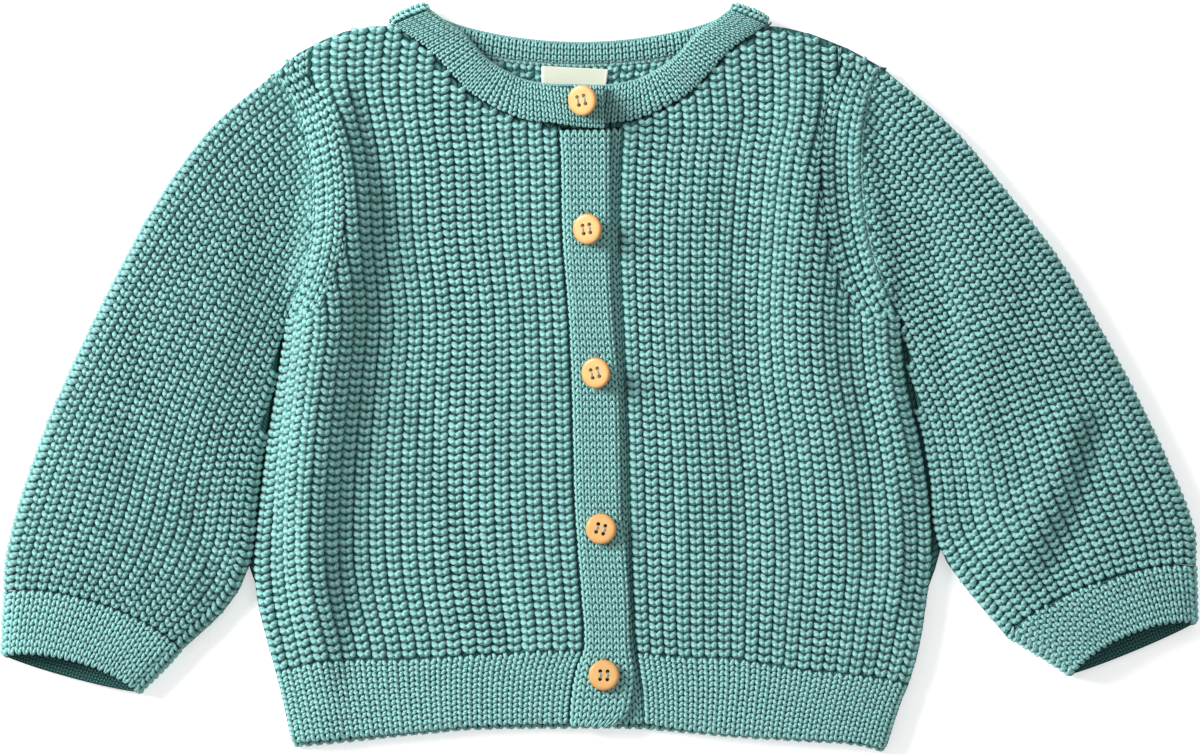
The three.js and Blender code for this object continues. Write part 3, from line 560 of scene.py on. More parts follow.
class NodeGraph:
    """Adds and links nodes in a shader or geometry tree."""

    def __init__(self, tree: bpy.types.NodeTree) -> None:
        """Starts on an empty tree."""
        self.tree = tree
        tree.nodes.clear()

    def add(self, kind: str, values: dict[str, Any] | None = None, **settings: Any) -> bpy.types.Node:
        """Adds a node.

        Args:
            kind: The node's type name.
            values: Its inputs: a name or an index, with a value or a socket to link from.
            **settings: The node's own settings.

        Returns:
            The node.
        """
        node = self.tree.nodes.new(kind)
        for name, value in settings.items():
            setattr(node, name, value)
        for key, value in (values or {}).items():
            self.put(self.socket(node.inputs, key), value)
        return node

    @staticmethod
    def socket(sockets: Any, key: str | int) -> bpy.types.NodeSocket:
        """Finds a socket by index, or the one in use by name."""
        if isinstance(key, int):
            return sockets[key]
        return next(s for s in sockets if s.name == key and s.enabled)

    def put(self, target: bpy.types.NodeSocket, value: Any) -> None:
        """Links a socket into another, or sets its value."""
        if isinstance(value, bpy.types.NodeSocket):
            self.tree.links.new(value, target)
        else:
            target.default_value = value

    def math(self, operation: str, a: Any, b: Any = 0.0, c: Any = 0.0) -> bpy.types.NodeSocket:
        """A Math node's output."""
        return self.add("ShaderNodeMath", {0: a, 1: b, 2: c}, operation=operation).outputs[0]

    def times(self, a: Any, b: Any) -> bpy.types.NodeSocket:
        """The product of two values."""
        return self.math("MULTIPLY", a, b)

    def fit(self, value: Any, scale: Any, shift: Any) -> bpy.types.NodeSocket:
        """A value times a scale, plus a shift."""
        return self.math("MULTIPLY_ADD", value, scale, shift)

    def place(self) -> bpy.types.NodeSocket:
        """The place in the object's own space."""
        return self.add("ShaderNodeTexCoord").outputs["Object"]

    def attribute(self, name: str) -> bpy.types.NodeSocket:
        """The value of a named attribute."""
        return self.add("ShaderNodeAttribute", attribute_name=name).outputs["Fac"]

    def map(self, name: str) -> bpy.types.NodeSocket:
        """The place on a UV map."""
        return self.add("ShaderNodeUVMap", uv_map=name).outputs[0]

    def bump(self, shader: bpy.types.Node, height: Any, strength: float, distance: float) -> None:
        """Gives a shader its relief."""
        bump = self.add("ShaderNodeBump", {"Strength": strength, "Distance": distance, "Height": height})
        self.put(shader.inputs["Normal"], bump.outputs[0])

    def mix(self, factor: Any, a: Any, b: Any, blend: str = "MIX") -> bpy.types.NodeSocket:
        """A colour Mix node's output."""
        node = self.add("ShaderNodeMix", data_type="RGBA", blend_type=blend)
        self.put(node.inputs[0], factor)
        self.put(node.inputs[6], a)
        self.put(node.inputs[7], b)
        return node.outputs[2]


def shader_group(name: str, inputs: Sequence[tuple[str, str, Any]], outputs: Sequence[tuple[str, str]],
                 build: Callable[[NodeGraph, Any], dict[str, Any]]) -> bpy.types.NodeTree:
    """Makes a shader node group once.

    Args:
        name: The group's name.
        inputs: Name, socket type and default of each input.
        outputs: Name and socket type of each output.
        build: Gets the graph and the group's input sockets, and returns a socket for each output.

    Returns:
        The group.
    """
    tree = bpy.data.node_groups.new(name, "ShaderNodeTree")
    graph = NodeGraph(tree)
    for label, kind, default in inputs:
        socket = tree.interface.new_socket(label, in_out="INPUT", socket_type=kind)
        if default is not None:
            socket.default_value = default
    for label, kind in outputs:
        tree.interface.new_socket(label, in_out="OUTPUT", socket_type=kind)
    made = build(graph, graph.add("NodeGroupInput").outputs)
    end = graph.add("NodeGroupOutput")
    for label, value in made.items():
        graph.put(end.inputs[label], value)
    return tree


def fibre_group() -> bpy.types.NodeTree:
    """Cotton fibres: a fine uneven value and a slower drift of the dye."""

    def build(graph: NodeGraph, given: Any) -> dict[str, Any]:
        """Lays two noises over each other."""
        fine = graph.add("ShaderNodeTexNoise", {
            "Vector": given["Vector"], "Scale": given["Fibre scale"], "Detail": 3.0, "Roughness": 0.65})
        slow = graph.add("ShaderNodeTexNoise", {"Vector": given["Vector"], "Scale": 38.0, "Detail": 2.0})
        return {"Fibre": fine.outputs[0], "Dye": slow.outputs[0]}

    return shader_group(
        "CottonFibre",
        [("Vector", "NodeSocketVector", None), ("Fibre scale", "NodeSocketFloat", 2600.0)],
        [("Fibre", "NodeSocketFloat"), ("Dye", "NodeSocketFloat")], build)


def knit_relief_group() -> bpy.types.NodeTree:
    """Knit stitches as a relief, on a map that counts wales across and rows along."""

    def build(graph: NodeGraph, given: Any) -> dict[str, Any]:
        """Draws the two slanted legs of each stitch."""
        parts = graph.add("ShaderNodeSeparateXYZ", {0: given["Map"]})
        across = graph.math("FRACT", parts.outputs[0])
        side = graph.math("ABSOLUTE", graph.fit(across, 2.0, -1.0))
        slanted = graph.math("FRACT", graph.fit(side, given["Slant"], parts.outputs[1]))
        leg = graph.math("SINE", graph.times(slanted, math.pi))
        hump = graph.math("SINE", graph.times(side, math.pi))
        edge = graph.math("POWER", graph.math("MAXIMUM", hump, 0.001), 0.5)
        return {"Height": graph.times(graph.math("POWER", graph.math("MAXIMUM", leg, 0.001), 0.6), edge)}

    return shader_group(
        "KnitRelief", [("Map", "NodeSocketVector", None), ("Slant", "NodeSocketFloat", -0.6)],
        [("Height", "NodeSocketFloat")], build)


class Groups:
    """The shader groups that several finishes share."""

    fibre: bpy.types.NodeTree
    relief: bpy.types.NodeTree

    @classmethod
    def build(cls) -> None:
        """Makes the groups."""
        cls.fibre = fibre_group()
        cls.relief = knit_relief_group()


def rgb(red: int, green: int, blue: int) -> tuple[float, float, float, float]:
    """A colour from 8-bit values as a screen shows them."""
    linear = [((v / 255 + 0.055) / 1.055) ** 2.4 if v > 10 else v / 255 / 12.92 for v in (red, green, blue)]
    return (linear[0], linear[1], linear[2], 1.0)


def principled(name: str, values: dict[str, float]) -> tuple[bpy.types.Material, NodeGraph, bpy.types.Node]:
    """Starts a material.

    Args:
        name: Its name.
        values: Settings of its shader.

    Returns:
        The material, its graph and its shader.
    """
    material = bpy.data.materials.new(name)
    material.use_nodes = True
    graph = NodeGraph(material.node_tree)
    shader = graph.add("ShaderNodeBsdfPrincipled", values)
    graph.add("ShaderNodeOutputMaterial", {"Surface": shader.outputs[0]})
    return material, graph, shader


@dataclass(frozen=True)
class YarnFinish:
    """Matt plied cotton yarn, as the laid stitches show it, with painted shade mixed into its colour."""

    name: str
    light: tuple[float, float, float, float]
    # The painted shade colour that deep and unlit parts turn to.
    shaded: tuple[float, float, float, float]
    twist: float = 0.9
    ply_strength: float = 0.55

    def build(self) -> bpy.types.Material:
        """Makes the material: plies turn round the yarn with painted shade in their grooves, the shade
        attribute paints shade into deep parts, and each stitch has its own tint plus its piece's painted
        light and shade.
        """
        material, graph, shader = principled(self.name, {
            "Roughness": 0.86, "Specular IOR Level": 0.25, "Sheen Weight": 0.25, "Sheen Roughness": 0.5})
        place = graph.place()
        fibre = graph.add("ShaderNodeGroup", {"Vector": place}, node_tree=Groups.fibre)
        yarn = graph.add("ShaderNodeSeparateXYZ", {0: graph.map("yarn")})
        turns = graph.fit(yarn.outputs[0], self.twist, graph.times(yarn.outputs[1], 2.0))
        # The plies' wave: painted shade in their grooves, and their bump.
        ply_painted_shade_and_relief = graph.math("ABSOLUTE", graph.math("SINE", graph.times(turns, math.pi)))
        shade = graph.attribute("shade")
        tint = graph.attribute("tint")
        # Painted shade from the shade attribute and the plies; the fibre noise is the cotton's own
        # unevenness.
        lit = graph.times(shade, graph.fit(ply_painted_shade_and_relief, 0.3, 0.72))
        lit = graph.times(lit, graph.fit(fibre.outputs["Fibre"], 0.3, 0.85))
        # Each stitch's random tint, plus its piece's painted light and shade.
        lit = graph.fit(tint, 0.14, graph.fit(lit, 1.0, -0.07))
        dye = graph.fit(fibre.outputs["Dye"], 0.2, -0.1)
        # Lower values turn towards the painted shade colour; the dye drift is the cotton's own.
        graph.put(shader.inputs["Base Color"], graph.mix(graph.math("ADD", lit, dye), self.shaded, self.light))
        height = graph.fit(ply_painted_shade_and_relief, 1.0, graph.times(fibre.outputs["Fibre"], 0.45))
        graph.bump(shader, height, self.ply_strength, 0.0005)
        return material


@dataclass(frozen=True)
class GroundFinish:
    """The cloth under and between the laid stitches, and on the hidden sides, painted darker than the yarn
    as painted shade between the stitches.
    """

    name: str
    light: tuple[float, float, float, float]
    # The painted shade colour of the relief's hollows.
    shaded: tuple[float, float, float, float]
    depth: float = 0.0009

    def build(self) -> bpy.types.Material:
        """Makes the material: a relief of knit stitches on the piece's own map, with painted shade in its
        hollows.
        """
        material, graph, shader = principled(self.name, {"Roughness": 0.9, "Specular IOR Level": 0.2})
        fibre = graph.add("ShaderNodeGroup", {"Vector": graph.place()}, node_tree=Groups.fibre)
        relief = graph.add("ShaderNodeGroup", {"Map": graph.map("knit")}, node_tree=Groups.relief)
        # Painted shade: the relief's hollows are painted darker.
        lit = graph.times(relief.outputs[0], graph.fit(fibre.outputs["Fibre"], 0.5, 0.75))
        graph.put(shader.inputs["Base Color"], graph.mix(lit, self.shaded, self.light))
        height = graph.fit(fibre.outputs["Fibre"], 0.15, relief.outputs[0])
        graph.bump(shader, height, 1.0, self.depth)
        return material


@dataclass(frozen=True)
class WoodFinish:
    """Pale varnished wood with fine grain and pores."""

    name: str
    pale: tuple[float, float, float, float]
    warm: tuple[float, float, float, float]

    def build(self) -> bpy.types.Material:
        """Makes the material."""
        material, graph, shader = principled(self.name, {"Roughness": 0.42, "Coat Weight": 0.15})
        place = graph.place()
        drift = graph.add("ShaderNodeTexNoise", {"Vector": place, "Scale": 260.0, "Detail": 3.0})
        stretch = graph.add("ShaderNodeMapping", {"Vector": place, "Scale": (1.0, 0.12, 1.0)})
        drawn = stretch.outputs[0]
        grain = graph.add("ShaderNodeTexNoise", {"Vector": drawn, "Scale": 2600.0, "Detail": 4.0})
        pores = graph.add("ShaderNodeTexVoronoi", {"Vector": drawn, "Scale": 3400.0})
        dark = graph.math("LESS_THAN", pores.outputs["Distance"], 0.16)
        mixed = graph.fit(grain.outputs[0], 0.55, graph.times(drift.outputs[0], 0.5))
        mixed = graph.fit(dark, 0.25, graph.math("ADD", mixed, -0.08))
        rim = graph.attribute("rim")
        mixed = graph.fit(rim, 0.6, mixed)
        graph.put(shader.inputs["Base Color"], graph.mix(mixed, self.pale, self.warm))
        height = graph.fit(dark, -1.0, graph.times(grain.outputs[0], 0.4))
        graph.bump(shader, height, 0.25, 0.0001)
        return material


@dataclass(frozen=True)
class TapeFinish:
    """Woven label tape: fine threads over and under, with a bright selvedge at its two sides."""

    name: str
    face: tuple[float, float, float, float]
    selvedge: tuple[float, float, float, float]

    def build(self) -> bpy.types.Material:
        """Makes the material."""
        material, graph, shader = principled(self.name, {"Roughness": 0.7, "Sheen Weight": 0.2})
        fibre = graph.add("ShaderNodeGroup", {"Vector": graph.place()}, node_tree=Groups.fibre)
        parts = graph.add("ShaderNodeSeparateXYZ", {0: graph.map("knit")})
        threads = [graph.math("SINE", graph.times(out, math.pi * 2)) for out in parts.outputs[:2]]
        weave = graph.fit(graph.times(threads[0], threads[1]), 0.5, 0.5)
        edge = graph.attribute("edge")
        dots = graph.times(edge, graph.math("GREATER_THAN", threads[1], -0.3))
        shade = graph.fit(weave, 0.12, graph.fit(fibre.outputs["Fibre"], 0.2, 0.76))
        grey = graph.mix(shade, (0.0, 0.0, 0.0, 1.0), self.face)
        graph.put(shader.inputs["Base Color"], graph.mix(dots, grey, self.selvedge))
        graph.bump(shader, weave, 0.5, 0.0001)
        return material


@dataclass(frozen=True)
class FloorFinish:
    """Plain pale floor."""

    name: str
    colour: tuple[float, float, float, float]
    glow: float = 0.5

    def build(self) -> bpy.types.Material:
        """Makes the material, with the faintest unevenness."""
        material, graph, shader = principled(self.name, {"Emission Strength": self.glow, "Roughness": 0.9})
        place = graph.place()
        noise = graph.add("ShaderNodeTexNoise", {"Vector": place, "Scale": 3.0})
        paler = tuple(min(1.0, v * 1.02) for v in self.colour[:3]) + (1.0,)
        tone = graph.mix(noise.outputs[0], self.colour, paler)
        graph.put(shader.inputs["Base Color"], tone)
        graph.put(shader.inputs["Emission Color"], tone)
        return material


TEAL = YarnFinish("teal_cotton_yarn", rgb(144, 204, 200), rgb(30, 84, 84))
# Painted shade: the ground is a darker copy of the teal yarn, so that the gaps between stitches look shaded.
TEAL_GROUND_PAINTED_SHADE = GroundFinish("teal_cotton_ground", rgb(84, 142, 139), rgb(24, 72, 72))
PALE_THREAD = YarnFinish("pale_sewing_thread", rgb(164, 192, 186), rgb(96, 128, 124), twist=1.6)
WOOD = WoodFinish("pale_wood", rgb(242, 200, 132), rgb(219, 154, 86))
TAPE = TapeFinish("cream_label_tape", rgb(226, 231, 212), rgb(250, 250, 246))
FLOOR = FloorFinish("white_floor", rgb(246, 246, 246))


class Finishes:
    """The built materials."""

    yarn: bpy.types.Material
    ground: bpy.types.Material
    thread: bpy.types.Material
    wood: bpy.types.Material
    tape: bpy.types.Material
    floor: bpy.types.Material

    @classmethod
    def build(cls) -> None:
        """Builds each finish once."""
        Groups.build()
        cls.yarn, cls.ground, cls.thread = TEAL.build(), TEAL_GROUND_PAINTED_SHADE.build(), PALE_THREAD.build()
        cls.wood, cls.tape, cls.floor = WOOD.build(), TAPE.build(), FLOOR.build()


def mesh_object(name: str, points: Array, faces: Any, material: bpy.types.Material | None = None,
                maps: dict[str, Array] | None = None,
                values: dict[str, Array] | None = None) -> bpy.types.Object:
    """Makes a smooth-shaded object from points in millimetres.

    Args:
        name: The object's name.
        points: A point to a row.
        faces: Vertex numbers, a face to a row.
        material: Its finish, if it has one yet.
        maps: UV maps by name, a place for each point.
        values: Attributes by name, a value for each point.

    Returns:
        The object, with its place in its mesh.
    """
    mesh = bpy.data.meshes.new(name)
    mesh.from_pydata((points * MM).tolist(), [], faces.tolist() if isinstance(faces, Array) else faces)
    corners = np.empty(len(mesh.loops), int)
    mesh.loops.foreach_get("vertex_index", corners)
    for label, places in (maps or {}).items():
        mesh.uv_layers.new(name=label).data.foreach_set("uv", places[corners].astype(np.float32).ravel())
    for label, data in (values or {}).items():
        mesh.attributes.new(label, "FLOAT", "POINT").data.foreach_set("value", data.astype(np.float32))
    mesh.polygons.foreach_set("use_smooth", np.ones(len(mesh.polygons), bool))
    if material:
        mesh.materials.append(material)
    mesh.validate()
    made = bpy.data.objects.new(name, mesh)
    bpy.context.scene.collection.objects.link(made)
    return made


def grid_faces(rows: int, columns: int, start: int, closed: bool, flip: bool) -> Array:
    """Quads of a grid of points.

    Args:
        rows: Number of rows.
        columns: Points in a row.
        start: Number of the grid's first point.
        closed: Whether each row is a ring.
        flip: Whether the faces turn the other way.

    Returns:
        Four vertex numbers to a row.
    """
    r, c = np.meshgrid(np.arange(rows - 1), np.arange(columns if closed else columns - 1), indexing="ij")
    n = (c + 1) % columns
    quads = np.stack([r * columns + c, r * columns + n, (r + 1) * columns + n, (r + 1) * columns + c], -1)
    quads = quads.reshape(-1, 4) + start
    return quads[:, ::-1] if flip else quads


def strip_faces(first: Array, second: Array, closed: bool) -> Array:
    """Quads between two chains of vertex numbers of the same length."""
    if closed:
        first, second = np.append(first, first[0]), np.append(second, second[0])
    return np.stack([first[:-1], first[1:], second[1:], second[:-1]], -1)


def shell(name: str, outer: Array, inner: Array, knit: Array, ring: bool = False) -> bpy.types.Object:
    """Makes a closed wall of ground cloth between two grids of points.

    Args:
        name: The object's name.
        outer: Grid of the outer face, rows by columns by x, y, z.
        inner: Grid of the inner face, of the same shape.
        knit: Wale and row at each point of the grid.
        ring: Whether each row is a closed ring, for a tube.

    Returns:
        The object.
    """
    rows, columns = outer.shape[:2]
    count = rows * columns
    points = np.concatenate([outer.reshape(-1, 3), inner.reshape(-1, 3)])
    number = np.arange(count).reshape(rows, columns)
    faces = [grid_faces(rows, columns, 0, ring, False), grid_faces(rows, columns, count, ring, True)]
    faces.append(strip_faces(number[0], number[0] + count, ring)[:, ::-1])
    faces.append(strip_faces(number[-1], number[-1] + count, ring))
    if not ring:
        faces.append(strip_faces(number[:, 0], number[:, 0] + count, False))
        faces.append(strip_faces(number[:, -1], number[:, -1] + count, False)[:, ::-1])
    quads = np.concatenate(faces)
    a, b, c, d = (points[quads[:, i]] for i in range(4))
    volume = np.einsum("ij,ij->i", a, np.cross(b, c)) + np.einsum("ij,ij->i", a, np.cross(c, d))
    if volume.sum() < 0:
        quads = quads[:, ::-1]
    flat = np.concatenate([knit.reshape(-1, 2)] * 2)
    return mesh_object(name, points, quads, Finishes.ground, {"knit": flat})


class LegPoint(NamedTuple):
    """A point of a stitch's leg: across from its middle, along its wale, up, and the yarn's radius."""

    across: float
    along: float
    up: float
    radius: float


LEGS = {
    StitchKind.RIB: table(LegPoint, (
        (2.5, 1.3, -1.9, 0.62), (2.2, 0.9, -0.55, 0.95), (1.55, 0.25, 0.4, 1.2),
        (0.85, -0.35, 0.55, 1.25), (0.22, -0.85, -0.1, 1.0),
    )),
    StitchKind.PLAIN: table(LegPoint, (
        (1.5, 1.75, -0.8, 0.5), (1.34, 0.9, 0.1, 0.8), (1.0, -0.05, 0.5, 0.92),
        (0.6, -0.95, 0.2, 0.8), (0.26, -1.7, -0.7, 0.45),
    )),
    StitchKind.BAND: table(LegPoint, (
        (1.12, 1.6, -0.42, 0.42), (1.0, 0.85, 0.12, 0.6), (0.7, 0.05, 0.32, 0.66),
        (0.4, -0.8, 0.12, 0.58), (0.18, -1.5, -0.42, 0.38),
    )),
    StitchKind.FINE: table(LegPoint, (
        (0.78, 1.15, -0.05, 0.44), (0.7, 0.4, 0.16, 0.54), (0.5, -0.4, 0.18, 0.54),
        (0.36, -1.15, -0.08, 0.44),
    )),
    StitchKind.CHAIN: table(LegPoint, (
        (0.9, 1.9, -0.4, 0.4), (0.8, 0.6, 0.3, 0.65), (0.45, -0.6, 0.35, 0.65),
        (0.2, -1.6, -0.4, 0.4),
    )),
}
# Painted shade: how light each kind of stitch is painted at its deepest yarn, from 0 to 1.
PAINTED_DEPTH_SHADE = {
    StitchKind.RIB: 0.34, StitchKind.PLAIN: 0.66, StitchKind.BAND: 0.9,
    StitchKind.FINE: 0.7, StitchKind.CHAIN: 0.5,
}
LEG_SIDES = 5
SWAY_SEED = 7.0
LOWEST = 0.05


def stitch_template(kind: StitchKind) -> bpy.types.Object:
    """Models one stitch: two tapered legs of yarn that meet at its foot, with painted shade on its deep
    parts and painted light on its upper side.

    Args:
        kind: The stitch.

    Returns:
        The object that the tree lays on every place of that stitch.
    """
    points, faces, maps, shade = [], [], [], []
    leg, shaded = LEGS[kind], PAINTED_DEPTH_SHADE[kind]
    for side in (-1, 1):
        centre = np.array([(p.across * side, p.along, p.up) for p in leg])
        step = np.gradient(centre, axis=0)
        step /= np.linalg.norm(step, axis=1, keepdims=True)
        run = np.concatenate([[0], np.cumsum(np.linalg.norm(np.diff(centre, axis=0), axis=1))])
        lowest, highest = min(p.up for p in leg), max(p.up for p in leg)
        start = len(points)
        for i, p in enumerate(leg):
            first = np.cross(step[i], (0, 0, 1))
            first /= np.linalg.norm(first)
            second = np.cross(first, step[i])
            for k in range(LEG_SIDES):
                angle = 2 * math.pi * (k + 0.5) / LEG_SIDES
                way = math.cos(angle) * first + math.sin(angle) * second
                points.append(centre[i] + way * p.radius)
                maps.append((run[i] * side, k / LEG_SIDES))
                # Painted shade: the yarn is painted darker the deeper it lies, and lighter on its upper
                # side.
                high = (p.up - lowest) / (highest - lowest)
                shade.append(shaded + (1 - shaded) * high * (0.85 + 0.15 * way[2]))
        for i in range(len(leg) - 1):
            for k in range(LEG_SIDES):
                a, b = start + i * LEG_SIDES + k, start + i * LEG_SIDES + (k + 1) % LEG_SIDES
                faces.append((a, b, b + LEG_SIDES, a + LEG_SIDES))
        last = start + (len(leg) - 1) * LEG_SIDES
        faces.append(tuple(start + k for k in reversed(range(LEG_SIDES))))
        faces.append(tuple(last + k for k in range(LEG_SIDES)))
    template = mesh_object(f"stitch_{kind.name.lower()}", np.array(points), faces, None,
                           {"yarn": np.array(maps)}, {"shade": np.array(shade)})
    template.hide_render = True
    return template


class StitchTree:
    """The geometry tree that lays a stitch on every given place, and the templates it lays."""

    tree: bpy.types.NodeTree
    templates: dict[StitchKind, bpy.types.Object]

    @classmethod
    def build(cls) -> None:
        """Builds the tree and one template for each kind of stitch."""
        cls.templates = {kind: stitch_template(kind) for kind in StitchKind}
        cls.tree = bpy.data.node_groups.new("LaidStitches", "GeometryNodeTree")
        cls.tree.is_modifier = True
        graph = NodeGraph(cls.tree)
        for label, kind, default in (
            ("Places", "NodeSocketGeometry", None), ("Stitch", "NodeSocketObject", None),
            ("Fullness", "NodeSocketFloat", 1.0), ("Unevenness", "NodeSocketFloat", 0.06),
            # Painted light: a piece's offset to its stitches' lightness; below 0 it paints shade.
            ("Sway", "NodeSocketFloat", 0.1), ("Tone", "NodeSocketFloat", 0.0), ("Seed", "NodeSocketInt", 1),
            ("Yarn", "NodeSocketMaterial", None),
        ):
            socket = cls.tree.interface.new_socket(label, in_out="INPUT", socket_type=kind)
            if default is not None:
                socket.default_value = default
        cls.tree.interface.new_socket("Knit", in_out="OUTPUT", socket_type="NodeSocketGeometry")
        given = graph.add("NodeGroupInput").outputs

        def vector(kind: str, values: dict[Any, Any], **settings: Any) -> bpy.types.NodeSocket:
            """The first output of a node."""
            return graph.add(kind, values, **settings).outputs[0]

        named = {n: vector("GeometryNodeInputNamedAttribute", {"Name": n}, data_type="FLOAT_VECTOR")
                 for n in ("along", "facing", "size")}
        turn = vector("FunctionNodeAxesToRotation", {0: named["facing"], 1: named["along"]},
                      primary_axis="Z", secondary_axis="Y")
        seeds = (given["Seed"], graph.math("ADD", given["Seed"], SWAY_SEED))
        span = {"Min": (-1.0,) * 3, "Max": (1.0,) * 3}
        uneven, swing = (vector("FunctionNodeRandomValue", {**span, "Seed": seed}, data_type="FLOAT_VECTOR")
                         for seed in seeds)
        swung = vector("ShaderNodeVectorMath", {0: swing, "Scale": given["Sway"]}, operation="SCALE")
        small = vector("FunctionNodeEulerToRotation", {0: swung})
        turned = vector("FunctionNodeRotateRotation", {0: turn, 1: small}, rotation_space="LOCAL")
        spread = vector("ShaderNodeVectorMath", {0: uneven, "Scale": given["Unevenness"]}, operation="SCALE")
        full = vector("ShaderNodeCombineXYZ", {0: 1.0, 1: 1.0, 2: given["Fullness"]})
        grown = vector("ShaderNodeVectorMath", {0: spread, 1: full}, operation="ADD")
        scale = vector("ShaderNodeVectorMath", {0: grown, 1: named["size"]}, operation="MULTIPLY")
        stitch = graph.add("GeometryNodeObjectInfo", {"Object": given["Stitch"]}).outputs["Geometry"]
        laid = graph.add("GeometryNodeInstanceOnPoints", {
            "Points": given["Places"], "Instance": stitch, "Rotation": turned, "Scale": scale}).outputs[0]
        # Each stitch's random tint, with its piece's painted light and shade added, is stored with it.
        tint = graph.add("FunctionNodeRandomValue", {"Seed": given["Seed"]}, data_type="FLOAT").outputs[1]
        tinted = graph.add("GeometryNodeStoreNamedAttribute", {"Geometry": laid, "Name": "tint"},
                           data_type="FLOAT", domain="INSTANCE")
        graph.put(graph.socket(tinted.inputs, "Value"), graph.math("ADD", tint, given["Tone"]))
        real = graph.add("GeometryNodeRealizeInstances", {"Geometry": tinted.outputs[0]}).outputs[0]
        done = graph.add("GeometryNodeSetMaterial", {"Geometry": real, "Material": given["Yarn"]}).outputs[0]
        graph.add("NodeGroupOutput", {0: done})

    @classmethod
    def lay(cls, name: str, places: "Places", settings: dict[str, Any]) -> bpy.types.Object:
        """Lays a stitch on every place and returns the plain mesh, dressed.

        Args:
            name: The piece's name.
            places: Where the stitches sit, and of which kind they are.
            settings: Values for the tree's named inputs.

        Returns:
            The piece.
        """
        mesh = bpy.data.meshes.new(name + "_places")
        at, along, facing, size = places.joined()
        mesh.from_pydata((at * MM).tolist(), [], [])
        for label, data in (("along", along), ("facing", facing), ("size", size)):
            mesh.attributes.new(label, "FLOAT_VECTOR", "POINT").data.foreach_set(
                "vector", data.astype(np.float32).ravel())
        holder = bpy.data.objects.new(name + "_places", mesh)
        bpy.context.scene.collection.objects.link(holder)
        modifier = holder.modifiers.new("stitches", "NODES")
        modifier.node_group = cls.tree
        items = cls.tree.interface.items_tree
        inputs = {item.name: item.identifier for item in items if item.in_out == "INPUT"}
        chosen = {"Stitch": cls.templates[places.kind], "Yarn": Finishes.yarn, **settings}
        for label, value in chosen.items():
            modifier[inputs[label]] = value
        made = plain_copy(holder, name)
        bpy.data.objects.remove(holder)
        flat = np.empty(len(made.data.vertices) * 3, np.float32)
        made.data.vertices.foreach_get("co", flat)
        flat[2::3] = np.maximum(flat[2::3], LOWEST * MM)
        made.data.vertices.foreach_set("co", flat)
        return dress(made)

    @classmethod
    def clear(cls) -> None:
        """Removes the templates."""
        for template in cls.templates.values():
            bpy.data.objects.remove(template)


def plain_copy(source: bpy.types.Object, name: str) -> bpy.types.Object:
    """The object's evaluated mesh as a new object with no modifiers."""
    bpy.context.view_layer.update()
    evaluated = source.evaluated_get(bpy.context.evaluated_depsgraph_get())
    mesh = bpy.data.meshes.new_from_object(evaluated)
    mesh.name = name
    made = bpy.data.objects.new(name, mesh)
    bpy.context.scene.collection.objects.link(made)
    return made


@dataclass
class Places:
    """Where stitches sit: their middle, the way up their wale, the way they face, and their size."""

    kind: StitchKind
    at: list[Array] = field(default_factory=list)
    along: list[Array] = field(default_factory=list)
    facing: list[Array] = field(default_factory=list)
    size: list[Array] = field(default_factory=list)

    def add_on(self, face: Face, across: Array, along: Array, half: tuple[float, float | Array],
               upward: int = 1, facing: int = 1, girth: float = 1.0, lowest: float = -2.0) -> None:
        """Adds a stitch at each place of a face.

        Args:
            face: Gives the point at a place across and along.
            across: The stitches' places across, in the face's own measure.
            along: Their places along.
            half: Half a wale and half a row, in the face's own measure.
            upward: 1 where wales run with the along measure, -1 where they run against it.
            facing: 1 where the stitches face the way that across and along give, -1 for the other way.
            girth: How thick they are against their width.
            lowest: The least upward share of the way that a stitch faces; others are left out.
        """
        if not len(across):
            return
        wide = face(across + half[0], along) - face(across - half[0], along)
        tall = (face(across, along + half[1]) - face(across, along - half[1])) * upward
        normal = np.cross(wide, tall) * facing
        normal /= np.maximum(np.linalg.norm(normal, axis=1, keepdims=True), 1e-9)
        length = np.linalg.norm(tall, axis=1)
        way = tall / np.maximum(length, 1e-9)[:, None]
        breadth = np.linalg.norm(wide - way * np.einsum("ij,ij->i", wide, way)[:, None], axis=1)
        pitch, row = self.kind.value
        keep = (normal[:, 2] >= lowest) & (length > 0.05 * row) & (breadth > 0.05 * pitch)
        thick = girth * np.sqrt(np.clip(breadth / pitch, 0.5, 1.5))
        self.at.append(face(across, along)[keep])
        self.along.append(way[keep])
        self.facing.append(normal[keep])
        self.size.append(np.stack([breadth / pitch, length / row, thick], -1)[keep])

    def joined(self) -> tuple[Array, Array, Array, Array]:
        """All places as four arrays."""
        return tuple(np.concatenate(part) for part in (self.at, self.along, self.facing, self.size))


def walk(points: Array, measure: Array, step: float, start: float = 0.5) -> tuple[Array, Array]:
    """Places at an even step along a chain of points.

    Args:
        points: The chain.
        measure: The face's own measure at each point of the chain.
        step: The step, in the points' measure.
        start: Where the first place is, in steps from the chain's start.

    Returns:
        The places and half a step at each, both in the face's own measure.
    """
    run = np.concatenate([[0], np.cumsum(np.linalg.norm(np.diff(points, axis=0), axis=1))])
    wanted = np.arange(start * step, run[-1], step)
    before, after = (np.interp(wanted + way * step / 2, run, measure) for way in (-1, 1))
    return (before + after) / 2, np.abs(after - before) / 2


def dress(piece: bpy.types.Object, node: str | None = None) -> bpy.types.Object:
    """Puts a piece on the root body and hides the solid it stands for, if one is named."""
    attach(piece, "root")
    if node:
        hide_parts(node)
    triangles = sum(len(p.vertices) - 2 for p in piece.data.polygons)
    LOG.info("%s: %d triangles", piece.name, triangles)
    return piece


